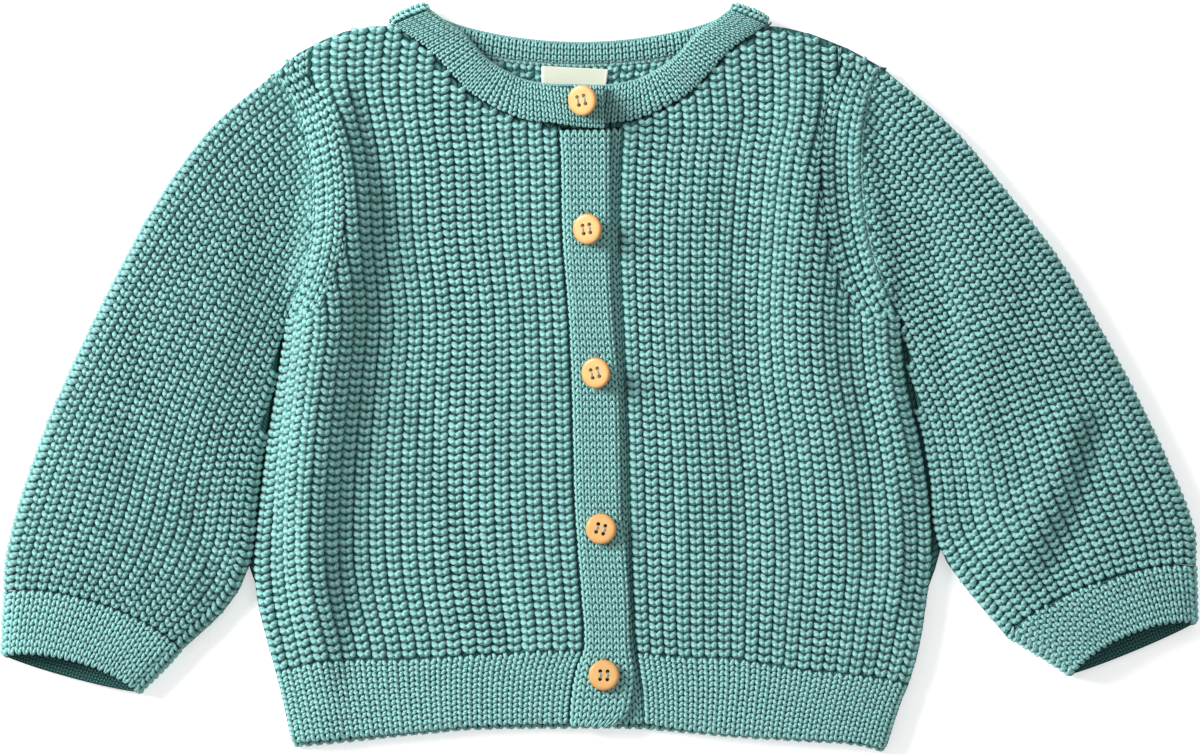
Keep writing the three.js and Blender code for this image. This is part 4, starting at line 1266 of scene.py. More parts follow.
@dataclass
class Front:
    """A front panel in fisherman's rib."""

    hand: Hand
    ribs: int = 21
    border: int = 3
    pinch: float = 0.25
    lap: float = 0.9
    row: float = 3.2
    most_rows: int = 84
    uneven: float = 0.35
    groove: float = 0.5
    ground: float = -1.3
    seat: float = -0.9
    heights: Array = field(default_factory=lambda: np.linspace(-126, 148, 138))
    layout: Array = field(init=False)

    def __post_init__(self) -> None:
        """Lays the ribs out evenly over the folded cloth, at each height."""
        share = np.linspace(0, 1, 90)
        rows = []
        for y in self.heights:
            side = read(self.hand.panel, "y", "side", y)
            band = read(self.hand.panel, "y", "band", y) - self.hand.sign * BAND_GAP * 0.5
            x = side + (band - side) * share
            z = torso_rise(x, np.full(90, y))
            run = np.concatenate([[0], np.cumsum(np.hypot(np.diff(x), np.diff(z)))])
            rows.append(np.interp(np.arange(0, self.ribs + 0.1, 0.25) / self.ribs * run[-1], run, x))
        self.layout = np.array(rows)

    def rib_x(self, rib: Array, y: Array) -> Array:
        """x of a rib coordinate at a height, before the armhole."""
        return look_up(self.layout, (y - self.heights[0]) / (self.heights[1] - self.heights[0]), rib * 4)

    def border_x(self, rib: Array, y: Array) -> Array:
        """x of a rib coordinate that follows the armhole."""
        edge = body_edge(self.hand, y) - self.hand.sign * self.lap
        start = np.full(np.shape(y), self.hand.sleeve[0].inner_y)
        inmost = np.full(np.shape(y), float(self.border))
        pitch = self.rib_x(inmost, start) - body_edge(self.hand, start)
        wide = np.minimum(rib, self.border) / self.border * pitch
        return edge + wide + self.hand.sign * self.pinch * np.maximum(rib - self.border, 0)

    def x(self, rib: Array, y: Array) -> Array:
        """x of a rib coordinate: the outer ribs follow the armhole and cover the others' ends."""
        rib, y = np.broadcast_arrays(np.asarray(rib, float), np.asarray(y, float))
        free = self.rib_x(rib, y)
        limit = self.border_x(rib, y)
        over = self.hand.sign * np.maximum(free * self.hand.sign, limit * self.hand.sign)
        above = np.where(rib <= self.border, limit, over)
        foot = np.clip((ARMHOLE_FOOT + 5 - y) / 5, 0, 1) * np.clip(1 - rib / self.border, 0, 1)
        above += self.hand.sign * self.lap * foot
        under = np.minimum(rib, 0) * np.clip((y - ARMHOLE_FOOT) / 8, 0, 1) + np.maximum(rib - self.ribs, 0)
        beyond = self.hand.sign * under * 5
        return np.where(y > self.hand.sleeve[0].inner_y, above, free) + beyond

    def top(self, rib: Array) -> Array:
        """The height at which a rib meets the shoulder or the neckband."""
        line = top_line(self.hand)
        return meet_top(lambda y: read(line, "x", "y", self.x(rib, y)) - SEAM_GAP * 1.6 > y, np.shape(rib))

    def bottom(self, rib: Array) -> Array:
        """The height at which a rib meets the hem."""
        return meet_hem(lambda y: self.x(rib, y), np.shape(rib), SEAM_GAP * 0.5)

    def face(self, rise: float) -> Face:
        """The outer face with a given rise, at a rib coordinate and a height."""

        def point(rib: Array, y: Array) -> Array:
            """x, y and z of the face."""
            x = self.x(rib, y)
            return np.stack([x, y, front_height(self.hand, x, y, KNIT_WALL, rise)[0]], -1)

        return point

    def build_ground(self) -> bpy.types.Object:
        """The panel's ground cloth."""
        across = np.concatenate([[-0.28], np.linspace(0, self.ribs, 4 * self.ribs + 1), [self.ribs + 0.2]])
        rib, part = np.meshgrid(across, np.linspace(0, 1, 64))
        low = self.bottom(rib) - 0.8
        y = low + (self.top(rib) + 0.5 - low) * part
        x = self.x(rib, y)
        wave = self.groove * np.abs(np.sin(math.pi * rib))
        outer, inner = front_height(self.hand, x, y, KNIT_WALL, self.ground + wave)
        inner = np.minimum(inner, outer - 0.4)
        faces = [np.stack([x, y, z], -1) for z in (outer, inner)]
        made = shell(f"front_{self.hand.name}_cloth", *faces, np.stack([rib, y / self.row], -1))
        return dress(made, f"front_{self.hand.name}")

    def build_stitches(self) -> bpy.types.Object:
        """The panel's rib stitches, rib by rib up from the hem."""
        places = Places(StitchKind.RIB)
        rib, number = np.meshgrid(np.arange(self.ribs) + 0.5, np.arange(self.most_rows), indexing="ij")
        bottom = self.bottom(rib)
        y = bottom + (number + 0.45) * self.row + self.uneven * wander(rib * 9, bottom, 30, 3)
        clear = (self.rib_x(rib, y) - self.border_x(rib, y)) * self.hand.sign
        keep = (y < self.top(rib) - 0.4)
        keep &= (y < self.hand.sleeve[0].inner_y) | (rib < self.border) | (clear > -2.2)
        places.add_on(self.face(self.seat), rib[keep], y[keep], (0.5, self.row / 2), facing=self.hand.sign)
        return StitchTree.lay(f"front_{self.hand.name}_stitches", places, {"Seed": 3 + self.hand.sign})

    def build(self) -> list[bpy.types.Object]:
        """Builds the panel."""
        cloth = self.build_ground()
        stitches = self.build_stitches()
        return [cloth, stitches]


@dataclass
class FrontHem:
    """The close rib along the lower edge of a front."""

    hand: Hand
    row: float = 2.8
    rows: int = 13
    depth: float = 34.0
    wall: float = KNIT_WALL - 0.3
    seat: float = -0.35
    ground: float = -1.2

    def plan(self, wale: Array, up: Array) -> tuple[Array, Array]:
        """x and y at a wale coordinate, from the lower edge at 0 to the hem line at 1."""
        sign, s = self.hand.sign, wale / self.hand.hem_ribs

        def x_at(y: Array) -> Array:
            """x across the hem at a height."""
            side, band = read(self.hand.panel, "y", "side", y), read(self.hand.panel, "y", "band", y)
            return side + (band - side) * s + sign * 0.5 * (SEAM_GAP * (1 - s) - BAND_GAP * s)

        top = meet_hem(x_at, np.shape(wale), -SEAM_GAP * 0.5)
        low = meet_hem(x_at, np.shape(wale), 0.0, "front")
        y = low + (top - low) * up
        return x_at(y), y

    def face(self, rise: float) -> Face:
        """The outer face, rounded at its lower edge."""

        def point(wale: Array, up: Array) -> Array:
            """x, y and z of the face."""
            x, y = self.plan(wale, up)
            z = front_height(self.hand, x, y, self.wall, rise)[0]
            return np.stack([x, y, z - 1.6 * (1 - roll_down(np.clip(up, 0, 1) * self.depth, 4.0))], -1)

        return point

    def build(self) -> list[bpy.types.Object]:
        """Builds the hem's ground and its stitches."""
        ribs = self.hand.hem_ribs
        wale, up = np.meshgrid(np.linspace(-0.1, ribs + 0.22, 4 * ribs + 1), np.linspace(0, 1.03, 16))
        x, y = self.plan(wale, up)
        _, inner = front_height(self.hand, x, y, self.wall, -0.5)
        outer = self.face(self.ground)(wale, up)
        outer[..., 2] += 0.6 * np.abs(np.sin(math.pi * wale))
        inner = np.minimum(inner, outer[..., 2] - 0.3)
        cloth = shell(f"hem_front_{self.hand.name}_cloth", outer, np.stack([x, y, inner], -1),
                      np.stack([wale, y / self.row], -1))
        dress(cloth, f"hem_front_{self.hand.name}")
        places = Places(StitchKind.PLAIN)
        wale, number = np.meshgrid(np.arange(ribs) + 0.5, np.arange(self.rows), indexing="ij")
        up = (number + 0.35) / self.rows
        places.add_on(self.face(self.seat), wale.ravel(), up.ravel(), (0.5, 0.5 / self.rows),
                      facing=self.hand.sign)
        # Painted light: the hem's stitches are painted lighter than the body's.
        stitches = StitchTree.lay(f"hem_front_{self.hand.name}_stitches", places,
                                  {"Seed": 11 + self.hand.sign, "Tone": 1.2})
        return [cloth, stitches]


@dataclass
class Tube:
    """A sleeve or a cuff: a flattened tube with an upper and an under layer."""

    hand: Hand
    name: str
    rows: tuple[Station, ...]
    ribs: int
    kind: StitchKind
    row: float
    seat: float
    creases: tuple[Crease, ...] = ()
    side_ribs: int = 1
    tilt: float = 0.5
    square: float = 4.0
    layout: Array = field(init=False)

    def __post_init__(self) -> None:
        """Finds where each rib crosses each station: in the cap, ribs run beside the outer fold."""
        fold = np.stack([read(self.rows, "t", "outer_x", np.linspace(0, self.last, 60)),
                         read(self.rows, "t", "outer_y", np.linspace(0, self.last, 60))], -1)
        s = np.linspace(0, 1, 61)
        rib = np.arange(0, self.ribs + 0.1, 0.5)
        rows = []
        full = layer_point(self.rows, self.hand.sign, s, np.full(61, min(self.square, self.last)))[2][0]
        for t in np.arange(0, self.last + 0.05, 0.1):
            x, y, _ = layer_point(self.rows, self.hand.sign, s, np.full(61, t))
            away = np.maximum.accumulate(distance_to(fold, x, y)) + s * 0.01
            wanted = rib / self.ribs * full * (0.92 + 0.08 * min(1, t / self.square))
            beside = np.interp(wanted, away, s) + np.maximum(0, wanted - away[-1]) / full
            part = np.clip((t - self.square + 1) / 1.6, 0, 1)
            part = 1.0 if self.is_cuff else part * part * (3 - 2 * part)
            rows.append(beside * (1 - part) + rib / self.ribs * part)
        self.layout = np.array(rows)

    @property
    def is_cuff(self) -> bool:
        """Whether this is the cuff, whose layers part at the mouth."""
        return self.rows is self.hand.cuff

    @property
    def last(self) -> float:
        """The last station."""
        return self.rows[-1].t

    def shares(self, s: Array, t: Array, width: Array, radius: float) -> Array:
        """How far the cloth has risen from the folded sides."""
        roll = FOLD_ROLL if self.is_cuff else self.hand.inner_roll
        inner = roll * radius / FOLD_ROLL
        return np.minimum(roll_down(s * width, radius), roll_down((1 - s) * width, inner))

    def point(self, lay: Lay, s: Array, t: Array, rise: Array | float, wall: float = 0.0) -> Array:
        """A point of the tube.

        Args:
            lay: The layer.
            s: 0 at the outer fold, 1 at the inner one.
            t: The station.
            rise: How far the outer face stands over the grooves.
            wall: How far in from the outer face.

        Returns:
            x, y and z.
        """
        sign = self.hand.sign
        under = lay is Lay.UNDER
        bow = "under" if under and self.is_cuff else "bow"
        x, y, width = layer_point(self.rows, sign, s, t, bow)
        clear = np.where(t > 6.5, 0.0, -sign * SEAM_GAP * s) if not self.is_cuff else 0.0
        if under:
            z = ROLL_HEIGHT * (1 - self.shares(s, t, width, 5.0)) + np.maximum(wall, -rise)
            return np.stack([x + clear, y, z], -1)
        settle = 1.0 if self.is_cuff else np.clip(t / 1.6, 0, 1) ** 2 * (3 - 2 * np.clip(t / 1.6, 0, 1))
        torso = TORSO_PUFF + torso_rise(x, y)
        falls = s if sign > 0 else 1 - s
        arch = (4 * np.clip(s * (1 - s), 0, 1)) ** 0.25
        own = read(self.rows, "t", "lift", t) * arch * (1 - self.tilt * falls)
        if self.creases:
            own = 0.9 + 0.5 * np.logaddexp(0, (own + crease_rise(self.creases, x, y) - 0.9) / 0.5)
        lift = torso + (own - torso) * settle
        full = KNIT_WALL + LAYER_GAP + KNIT_WALL + lift + rise - wall - (1 - INNER_SHARE) * lift * (wall > 0)
        share = self.shares(s, t, width, FOLD_ROLL)
        return np.stack([x + clear, y, ROLL_HEIGHT + (full - ROLL_HEIGHT) * share], -1)

    def across(self, rib: Array, t: Array) -> Array:
        """The share of the width at a rib coordinate; past 1, the rib has not begun."""
        return look_up(self.layout, np.asarray(t) * 10, np.asarray(rib) * 2)

    def face(self, lay: Lay, rise: float) -> Face:
        """The outer face of a layer, at a rib coordinate and a station."""

        def point(rib: Array, t: Array) -> Array:
            """x, y and z of the face."""
            at = np.clip(t, 0, self.last)
            sink = 0.0 if self.is_cuff else 0.9 * np.clip(1 - at / 0.4, 0, 1)
            return self.point(lay, self.across(rib, at), at, rise - sink)

        return point

    def build_ground(self) -> bpy.types.Object:
        """The tube's ground cloth, both layers in one ring."""
        count = 4 * self.ribs
        s = np.concatenate([np.linspace(0, 1, count + 1), np.linspace(1, 0, count + 1)[1:-1]])
        t = np.linspace(0, self.last, 44 if not self.is_cuff else 12)
        ss, tt = np.meshgrid(s, t)
        upper = np.arange(len(s)) <= count
        rib = ss * self.ribs
        straight = 1.0 if self.is_cuff else np.clip(tt - self.square, 0, 1)
        wave = 0.5 * np.abs(np.sin(math.pi * rib)) * straight
        over = self.point(Lay.UPPER, ss, tt, (-1.1 if self.is_cuff else -1.3) + wave)
        under = self.point(Lay.UNDER, ss, tt, wave - 0.6)
        outer = np.where(upper[None, :, None], over, under)
        _, _, width = layer_point(self.rows, self.hand.sign, ss, tt)
        inset = (KNIT_WALL - 0.6) / width
        inside = inset + (1 - 2 * inset) * ss
        over = self.point(Lay.UPPER, inside, tt, -0.5, KNIT_WALL - 0.5)
        under = self.point(Lay.UNDER, inside, tt, 0.0, KNIT_WALL - 0.4)
        over[..., 2] = np.maximum(over[..., 2], KNIT_WALL)
        inner = np.where(upper[None, :, None], over, under)
        inner[..., 2] = np.where(upper[None, :], inner[..., 2], KNIT_WALL - 0.4)
        if self.is_cuff:
            for ring in outer, inner:
                ring[0, :, :2] += (ring[0] - ring[1])[:, :2] * 0.16
        knit = np.stack([rib, tt * 30 / self.row], -1)
        made = shell(f"{self.name}_cloth", outer, inner, knit, ring=True)
        return dress(made, self.name)

    def build_stitches(self) -> bpy.types.Object:
        """The stitches of the upper layer, and of the sides that turn under."""
        places = Places(self.kind)
        t = np.linspace(self.last, 0, 120)
        for lay in Lay:
            for rib in np.arange(self.ribs) + 0.5:
                if lay is Lay.UNDER and self.side_ribs <= rib <= self.ribs - self.side_ribs:
                    continue
                chain = self.point(lay, self.across(np.full(120, rib), t), t, 0.0)
                at, half = walk(chain, t, self.row, 0.5)
                inside = self.across(np.full(len(at), rib), at) < 0.99
                at, half = at[inside], half[inside]
                seat, turn = (self.seat, self.hand.sign) if lay is Lay.UPPER else (0.4, -self.hand.sign)
                places.add_on(self.face(lay, seat), np.full(len(at), rib), at, (0.5, half), upward=-1,
                              facing=turn, lowest=-2.0 if lay is Lay.UPPER else -0.75)
        # Painted light and shade: the cuffs are painted lighter and the sleeves darker, by a different
        # amount on each hand.
        tone = 0.6 + 0.2 * self.hand.sign if self.is_cuff else -0.55 - 0.25 * self.hand.sign
        return StitchTree.lay(f"{self.name}_stitches", places, {"Seed": 21 + self.hand.sign, "Tone": tone})

    def build(self) -> list[bpy.types.Object]:
        """Builds the tube."""
        cloth, stitches = self.build_ground(), self.build_stitches()
        return [cloth, stitches]


@dataclass
class Back:
    """The back panel and its hem, which lie on the surface."""

    ribs: int = 42
    row: float = 3.2
    neck_ribs: tuple[int, int] = (12, 31)
    neck_rows: int = 9
    hem_wales: int = 56
    hem_row: float = 2.8
    hem_rows: int = 13
    hem_depth: float = 38.0
    shoulder_x: float = 77.0
    shoulder_y: float = 139.2

    def x(self, rib: Array, y: Array) -> Array:
        """x of a rib coordinate at a height."""
        spread = np.interp(y, (-84, -70, 20, 31), (0, 4.5, 4.5, ARMHOLE_GAP))
        left, right = body_edge(RIGHT, y) - spread, body_edge(LEFT, y) + spread
        return left + (right - left) * rib / self.ribs

    def top(self, rib: Array) -> Array:
        """The height at which the back meets the shoulder line or the neckband."""
        neck = [LinePoint(NECK_X - row.seam_x, row.seam_y - SEAM_GAP) for row in NECK_BACK[1:]]
        neck += [LinePoint(NECK_X + row.seam_x, row.seam_y - SEAM_GAP) for row in NECK_BACK[-2:0:-1]]
        ends = [LinePoint(NECK_X + side * self.shoulder_x, self.shoulder_y) for side in (-1, 1)]
        line = [*RIGHT.shoulder, ends[0], *neck, ends[1]]
        line += list(LEFT.shoulder[::-1])
        xs, ys = np.array([p.x for p in line]), np.array([p.y for p in line])
        return meet_top(lambda y: np.interp(self.x(rib, y), xs, ys) > y, np.shape(rib))

    def bottom(self, rib: Array) -> Array:
        """The height at which the back meets its hem."""
        return meet_hem(lambda y: self.x(rib, y), np.shape(rib), SEAM_GAP * 0.5)

    def build(self) -> list[bpy.types.Object]:
        """Builds the panel, its hem, and the stitches that show."""
        rib, part = np.meshgrid(np.linspace(0, self.ribs, 4 * self.ribs + 1), np.linspace(0, 1, 28))
        low, high = self.bottom(rib), self.top(rib)
        y = low + (high - low) * part
        x = self.x(rib, y)
        groove = 0.6 * (1 - np.abs(np.sin(math.pi * rib)))
        under, over = np.stack([x, y, groove], -1), np.stack([x, y, KNIT_WALL - 0.25 - groove * 0.5], -1)
        cloth = shell("back_cloth", over, under, np.stack([rib, y / self.row], -1))
        dress(cloth, "back")
        places = Places(StitchKind.RIB)

        def inside_face(rib_at: Array, y_at: Array) -> Array:
            """The inside of the back, as the neck shows it."""
            return np.stack([self.x(rib_at, y_at), y_at, np.full(np.shape(y_at), KNIT_WALL - 1.1)], -1)

        shown = np.arange(*self.neck_ribs) + 0.5
        neck_rib, number = np.meshgrid(shown, np.arange(self.neck_rows), indexing="ij")
        at = self.top(neck_rib) - (number + 0.6) * self.row
        places.add_on(inside_face, neck_rib.ravel(), at.ravel(), (0.5, self.row / 2), facing=1, girth=0.8)
        stitches = StitchTree.lay("back_neck_stitches", places, {"Seed": 5})
        return [cloth, stitches, *self.build_hem()]

    def build_hem(self) -> list[bpy.types.Object]:
        """The back's hem, whose lowest rows show below the fronts."""
        wales, depth = self.hem_wales, self.hem_depth
        wale, up = np.meshgrid(np.linspace(0, wales, 4 * wales + 1), np.linspace(0, 1, 12))

        def plan(w: Array, u: Array) -> tuple[Array, Array]:
            """x and y at a wale coordinate, from the lower edge at 0 to the hem line at 1."""
            y = np.full(np.shape(w), -130.0)
            for _ in range(5):
                left = read(RIGHT.panel, "y", "side", y) + SEAM_GAP * 0.5
                right = read(LEFT.panel, "y", "side", y) - SEAM_GAP * 0.5
                x = left + (right - left) * w / wales
                y = hem_y("back", x) + (hem_y("top", x) - SEAM_GAP * 0.5 - hem_y("back", x)) * u
            return x, y

        x, y = plan(wale, up)
        groove = 0.4 * (1 - np.abs(np.sin(math.pi * wale)))
        round_in = 0.9 * (1 - roll_down(up * depth, 1.8))
        over = np.stack([x, y, KNIT_WALL - 0.5 - groove - round_in], -1)
        under = np.stack([x, y, groove + round_in], -1)
        cloth = shell("hem_back_cloth", over, under, np.stack([wale, y / self.hem_row], -1))
        dress(cloth, "hem_back")
        places = Places(StitchKind.PLAIN)

        def face(w: Array, u: Array) -> Array:
            """The hem's upper face, rounded at its lower edge."""
            fx, fy = plan(w, u)
            sunk = 0.9 + 1.1 * (1 - roll_down(np.clip(u, 0, 1) * depth, 3.0))
            return np.stack([fx, fy, KNIT_WALL - sunk], -1)

        at, number = np.meshgrid(np.arange(wales) + 0.5, np.arange(3), indexing="ij")
        rows = self.hem_rows
        places.add_on(face, at.ravel(), (number.ravel() + 0.3) / rows, (0.5, 0.5 / rows), facing=1)
        stitches = StitchTree.lay("hem_back_stitches", places, {"Seed": 6})
        return [cloth, stitches]


@dataclass
class Neckband:
    """The doubled fine-rib band round the neck, from its upper end over both shoulders to its lower end."""

    wale: float = 2.6
    overlap: float = 3.1
    fold_radius: float = 2.5
    row: float = 2.15
    ground: float = 0.55
    inner: float = 1.35
    seat: float = 0.5
    edge: float = 0.2
    edge_radius: float = 0.75

    def walk(self, rows: Sequence[NeckRow], sign: int, start: float, end: float, up: float,
             climb: Callable[[Array], Array]) -> Array:
        """Stations along one stretch of the band, two for each wale.

        Args:
            rows: The table of that stretch.
            sign: 1 on the wearer's right, -1 on the left.
            start: The first row.
            end: The last row.
            up: The way that the outer side faces: 1 up, -1 down.
            climb: Extra height at a row.

        Returns:
            Seam, free edge, outward way and thickness, a station to a row.
        """
        fine = np.arange(min(start, end), max(start, end) + 1e-6, 0.25)
        middle = [(read(rows, "k", f"seam_{axis}", fine) + read(rows, "k", f"free_{axis}", fine)) / 2
                  for axis in "xy"]
        length = np.hypot(np.diff(middle[0]), np.diff(middle[1])).sum()
        k = np.linspace(start, end, 2 * round(length / self.wale) + 1)
        z = read(rows, "k", "z", k) + climb(k)
        seam = [NECK_X - sign * read(rows, "k", "seam_x", k), read(rows, "k", "seam_y", k), z]
        free = [NECK_X - sign * read(rows, "k", "free_x", k), read(rows, "k", "free_y", k), z]
        flat = np.zeros_like(k)
        return np.stack([*seam, *free, flat, flat, flat + up, read(rows, "k", "thick", k)], -1)

    def turn(self, sign: int, degrees: Sequence[float]) -> Array:
        """Stations round the fold at a shoulder."""
        row = NECK_FRONT[0]
        along = np.array([row.free_x - row.seam_x, row.free_y - row.seam_y])
        along /= np.linalg.norm(along)
        away = np.array([-sign * along[1], -along[0]])
        away *= 1 if away[1] > 0 else -1
        made = []
        for degree in degrees:
            a = math.radians(degree)
            up = np.array([away[0] * math.sin(a), away[1] * math.sin(a), math.cos(a)])
            middle = np.array([0, 0, NECK_BACK[0].z + self.fold_radius]) + up * self.fold_radius
            seam = np.array([NECK_X - sign * row.seam_x, row.seam_y, 0]) + middle
            free = np.array([NECK_X - sign * row.free_x, row.free_y, 0]) + middle
            made.append([*seam, *free, *up, row.thick])
        return np.array(made)

    def lay_out(self) -> Array:
        """All stations, a row each."""

        def smooth(k: Array, low: float, high: float) -> Array:
            """A soft step from 0 to 1."""
            t = np.clip((k - low) / (high - low), 0, 1)
            return t * t * (3 - 2 * t)

        parts = [
            self.walk(NECK_FRONT, 1, 8, 0, 1, lambda k: self.overlap * smooth(k, 4.6, 6.6)),
            self.turn(1, (36, 72, 108, 144)),
            self.walk(NECK_BACK, 1, 0, 5, -1, np.zeros_like)[:-1],
            self.walk(NECK_BACK, -1, 5, 0, -1, np.zeros_like),
            self.turn(-1, (144, 108, 72, 36)),
            self.walk(NECK_FRONT, -1, 0, 7.3, 1, lambda k: -smooth(k, 5, 6.8)),
        ]
        return np.concatenate(parts)

    def face(self, table: Array, inset: float) -> Face:
        """The band's outside, at a station coordinate and an angle round its section.

        Args:
            table: The stations.
            inset: How far inside the full section.

        Returns:
            The face. Its angle is 0 at the seam edge, pi at the free edge, and under the band past pi.
        """

        def point(station: Array, angle: Array) -> Array:
            """x, y and z of the face."""
            place = np.clip(station, 0, len(table) - 1)
            row = np.stack([np.interp(place, np.arange(len(table)), table[:, i]) for i in range(10)], -1)
            seam, free, up, thick = row[..., :3], row[..., 3:6], row[..., 6:9], row[..., 9:]
            up = up / np.linalg.norm(up, axis=-1, keepdims=True)
            cos, sin = np.cos(angle)[..., None], np.sin(angle)[..., None]
            across = -np.sign(cos) * np.abs(cos) ** 0.8
            half = np.linalg.norm(free - seam, axis=-1, keepdims=True) / 2
            middle, way = (seam + free) / 2, (free - seam) / (2 * half)
            height = np.sign(sin) * np.abs(sin) ** 0.7 * (thick / 2 - inset)
            made = middle + way * across * (half - inset) + up * height
            made[..., 2] = np.maximum(made[..., 2], LOWEST)
            return made

        return point

    def build(self) -> list[bpy.types.Object]:
        """Builds the band's ground roll and its stitches."""
        table = self.lay_out()
        station, angle = np.meshgrid(np.arange(len(table)), np.linspace(0, 2 * math.pi, 20, endpoint=False),
                                     indexing="ij")
        outer = self.face(table, self.ground)(station, angle)
        inner = self.face(table, self.inner)(station, angle)
        cloth = shell("neckband_cloth", outer, inner, np.stack([station / 2, angle * 4], -1), ring=True)
        dress(cloth, "neckband")
        places = Places(StitchKind.FINE)
        face = self.face(table, self.seat)
        for at in np.arange(1, len(table) - 1, 2, dtype=float):
            angles = np.linspace(0, 2 * math.pi, 160)
            chain = face(np.full(160, at), angles)
            where, half = walk(chain, angles, self.row, 0.4)
            apart = np.abs(where - math.pi) > 0.3
            where, half = where[apart], half[apart]
            places.add_on(face, np.full(len(where), at), where, (1.0, half), facing=-1, lowest=-0.2)
        # Painted light: the neckband's stitches are painted lighter than the body's.
        stitches = StitchTree.lay("neckband_stitches", places, {"Seed": 31, "Sway": 0.1, "Tone": 1.0})
        edge = self.face(table, self.edge)(np.arange(0, len(table)), np.full(len(table), math.pi))
        rim = threads("neckband_edge", [Strand(edge, self.edge_radius)], Finishes.yarn, 8, 0.75)
        return [cloth, stitches, dress(rim)]


@dataclass
class Bands:
    """The buttonhole band, which lies on top, and the button band under it."""

    width: float = 18.4
    row: float = 2.7
    wales: int = 7
    ground: float = -0.55
    seat: float = -0.35
    hole: tuple[float, float] = (1.7, 6.4)

    @staticmethod
    def crown(s: Array) -> Array:
        """The height of a band over its underside, rounded at both edges."""
        return BAND_WALL * (0.62 + 0.38 * roll_down(np.minimum(s, 1 - s), 0.2))

    def upper(self, s: Array, y: Array, rise: float) -> Array:
        """The face of the buttonhole band, from its seam at 0 to its free edge at 1."""
        left = read(RIGHT.panel, "y", "band", y) + BAND_GAP * 0.5
        right = read(BUTTONHOLE_BAND, "y", "right", y)
        z = read(BUTTONHOLE_BAND, "y", "z", y) + self.crown(s) + rise
        return np.stack([left + (right - left) * s, y, z], -1)

    def lower(self, s: Array, y: Array, rise: float) -> Array:
        """The face of the button band, from its free edge at 0 to its seam at 1."""
        right = read(LEFT.panel, "y", "band", y) - BAND_GAP * 0.5
        z = read(BUTTON_BAND, "y", "z", y) + self.crown(s) + rise
        return np.stack([right + self.width * (s - 1), y, z], -1)

    def build_one(self, name: str, face: Callable[..., Array], ends: tuple[float, float], shown: float,
                  seed: int) -> list[bpy.types.Object]:
        """Builds one band.

        Args:
            name: The solid's name.
            face: Its face.
            ends: Its upper and lower end.
            shown: The share of its width past which it gets stitches.
            seed: Seed of its unevenness.

        Returns:
            The ground and the stitches.
        """
        wales = self.wales
        s, y = np.meshgrid(np.linspace(0, 1, 21), np.linspace(*ends, 90))
        outer, inner = face(s, y, self.ground), face(s, y, -BAND_WALL)
        inner[..., 2] = np.minimum(inner[..., 2], outer[..., 2] - 0.5)
        cloth = shell(f"{name}_cloth", outer, inner, np.stack([s * wales, y / self.row], -1))
        places = Places(StitchKind.BAND)
        rows = np.arange(ends[1] + 1.2, ends[0], self.row)
        wale, at = np.meshgrid(np.arange(wales) + 0.5, rows, indexing="ij")
        keep = wale / wales >= shown
        for b in BUTTONS[1:]:
            middle = face(wale / wales, at, 0.0)
            off_x, off_y = (middle[..., 0] - b.x) / self.hole[0], (middle[..., 1] - b.y) / self.hole[1]
            keep &= (off_x ** 2 + off_y ** 2 > 1) | (name == "button_band")
        places.add_on(lambda w, h: face(np.clip(w / wales, 0, 1), h, self.seat), wale[keep], at[keep],
                      (0.5, self.row / 2), facing=1)
        # Painted light: the bands' stitches are painted much lighter than the body's.
        stitches = StitchTree.lay(f"{name}_stitches", places, {"Seed": seed, "Sway": 0.06, "Tone": 1.8})
        dress(cloth, name)
        return [cloth, stitches]

    def build(self) -> list[bpy.types.Object]:
        """Builds both bands."""
        made = []
        for name, face, rows, shown, seed in (("buttonhole_band", self.upper, BUTTONHOLE_BAND, 0.0, 41),
                                              ("button_band", self.lower, BUTTON_BAND, 0.5, 42)):
            made += self.build_one(name, face, (rows[0].y, rows[-1].y), shown, seed)
        return made


class Strand(NamedTuple):
    """A run of thread along a chain of points."""

    chain: Array
    radius: float


def strand_mesh(line: Strand, sides: int) -> tuple[Array, list, Array]:
    """A closed tube of thread with tapered ends.

    Args:
        line: The strand.
        sides: Faces round it.

    Returns:
        Points, faces and the thread's map.
    """
    chain = line.chain
    count = len(chain)
    step = np.gradient(chain, axis=0)
    step /= np.linalg.norm(step, axis=1, keepdims=True)
    first = np.cross(step, (0.05, 0.02, 1.0))
    first /= np.linalg.norm(first, axis=1, keepdims=True)
    second = np.cross(step, first)
    angle = np.linspace(0, 2 * math.pi, sides, endpoint=False)
    taper = line.radius * np.sqrt(np.clip(np.sin(np.linspace(0.12, math.pi - 0.12, count)) * 2.2, 0, 1))
    ring = chain[:, None] + taper[:, None, None] * (
        np.cos(angle)[None, :, None] * first[:, None] + np.sin(angle)[None, :, None] * second[:, None])
    points = np.concatenate([ring.reshape(-1, 3), chain[[0, -1]]])
    faces = grid_faces(count, sides, 0, True, True).tolist()
    last = (count - 1) * sides
    for k in range(sides):
        n = (k + 1) % sides
        faces += [(k, n, len(points) - 2), (last + n, last + k, len(points) - 1)]
    run = np.concatenate([[0], np.cumsum(np.linalg.norm(np.diff(chain, axis=0), axis=1))])
    around = np.stack([np.repeat(run, sides), np.tile(np.arange(sides) / sides, count)], -1)
    return points, faces, np.concatenate([around, [[0, 0], [run[-1], 0]]])


def threads(name: str, lines: Sequence[Strand], material: bpy.types.Material, sides: int = 6,
            shade: float = 0.9) -> bpy.types.Object:
    """Makes one piece of many strands.

    Args:
        name: The piece's name.
        lines: The strands.
        material: Their finish.
        sides: Faces round each.
        shade: How light they are, from 0 to 1.

    Returns:
        The piece.
    """
    points, faces, maps, start = [], [], [], 0
    for line in lines:
        p, f, m = strand_mesh(line, sides)
        points.append(p)
        maps.append(m)
        faces += [tuple(i + start for i in face) for face in f]
        start += len(p)
    places = np.concatenate(points)
    values = {"shade": np.full(len(places), shade), "tint": np.full(len(places), 0.5)}
    return mesh_object(name, places, faces, material, {"yarn": np.concatenate(maps)}, values)


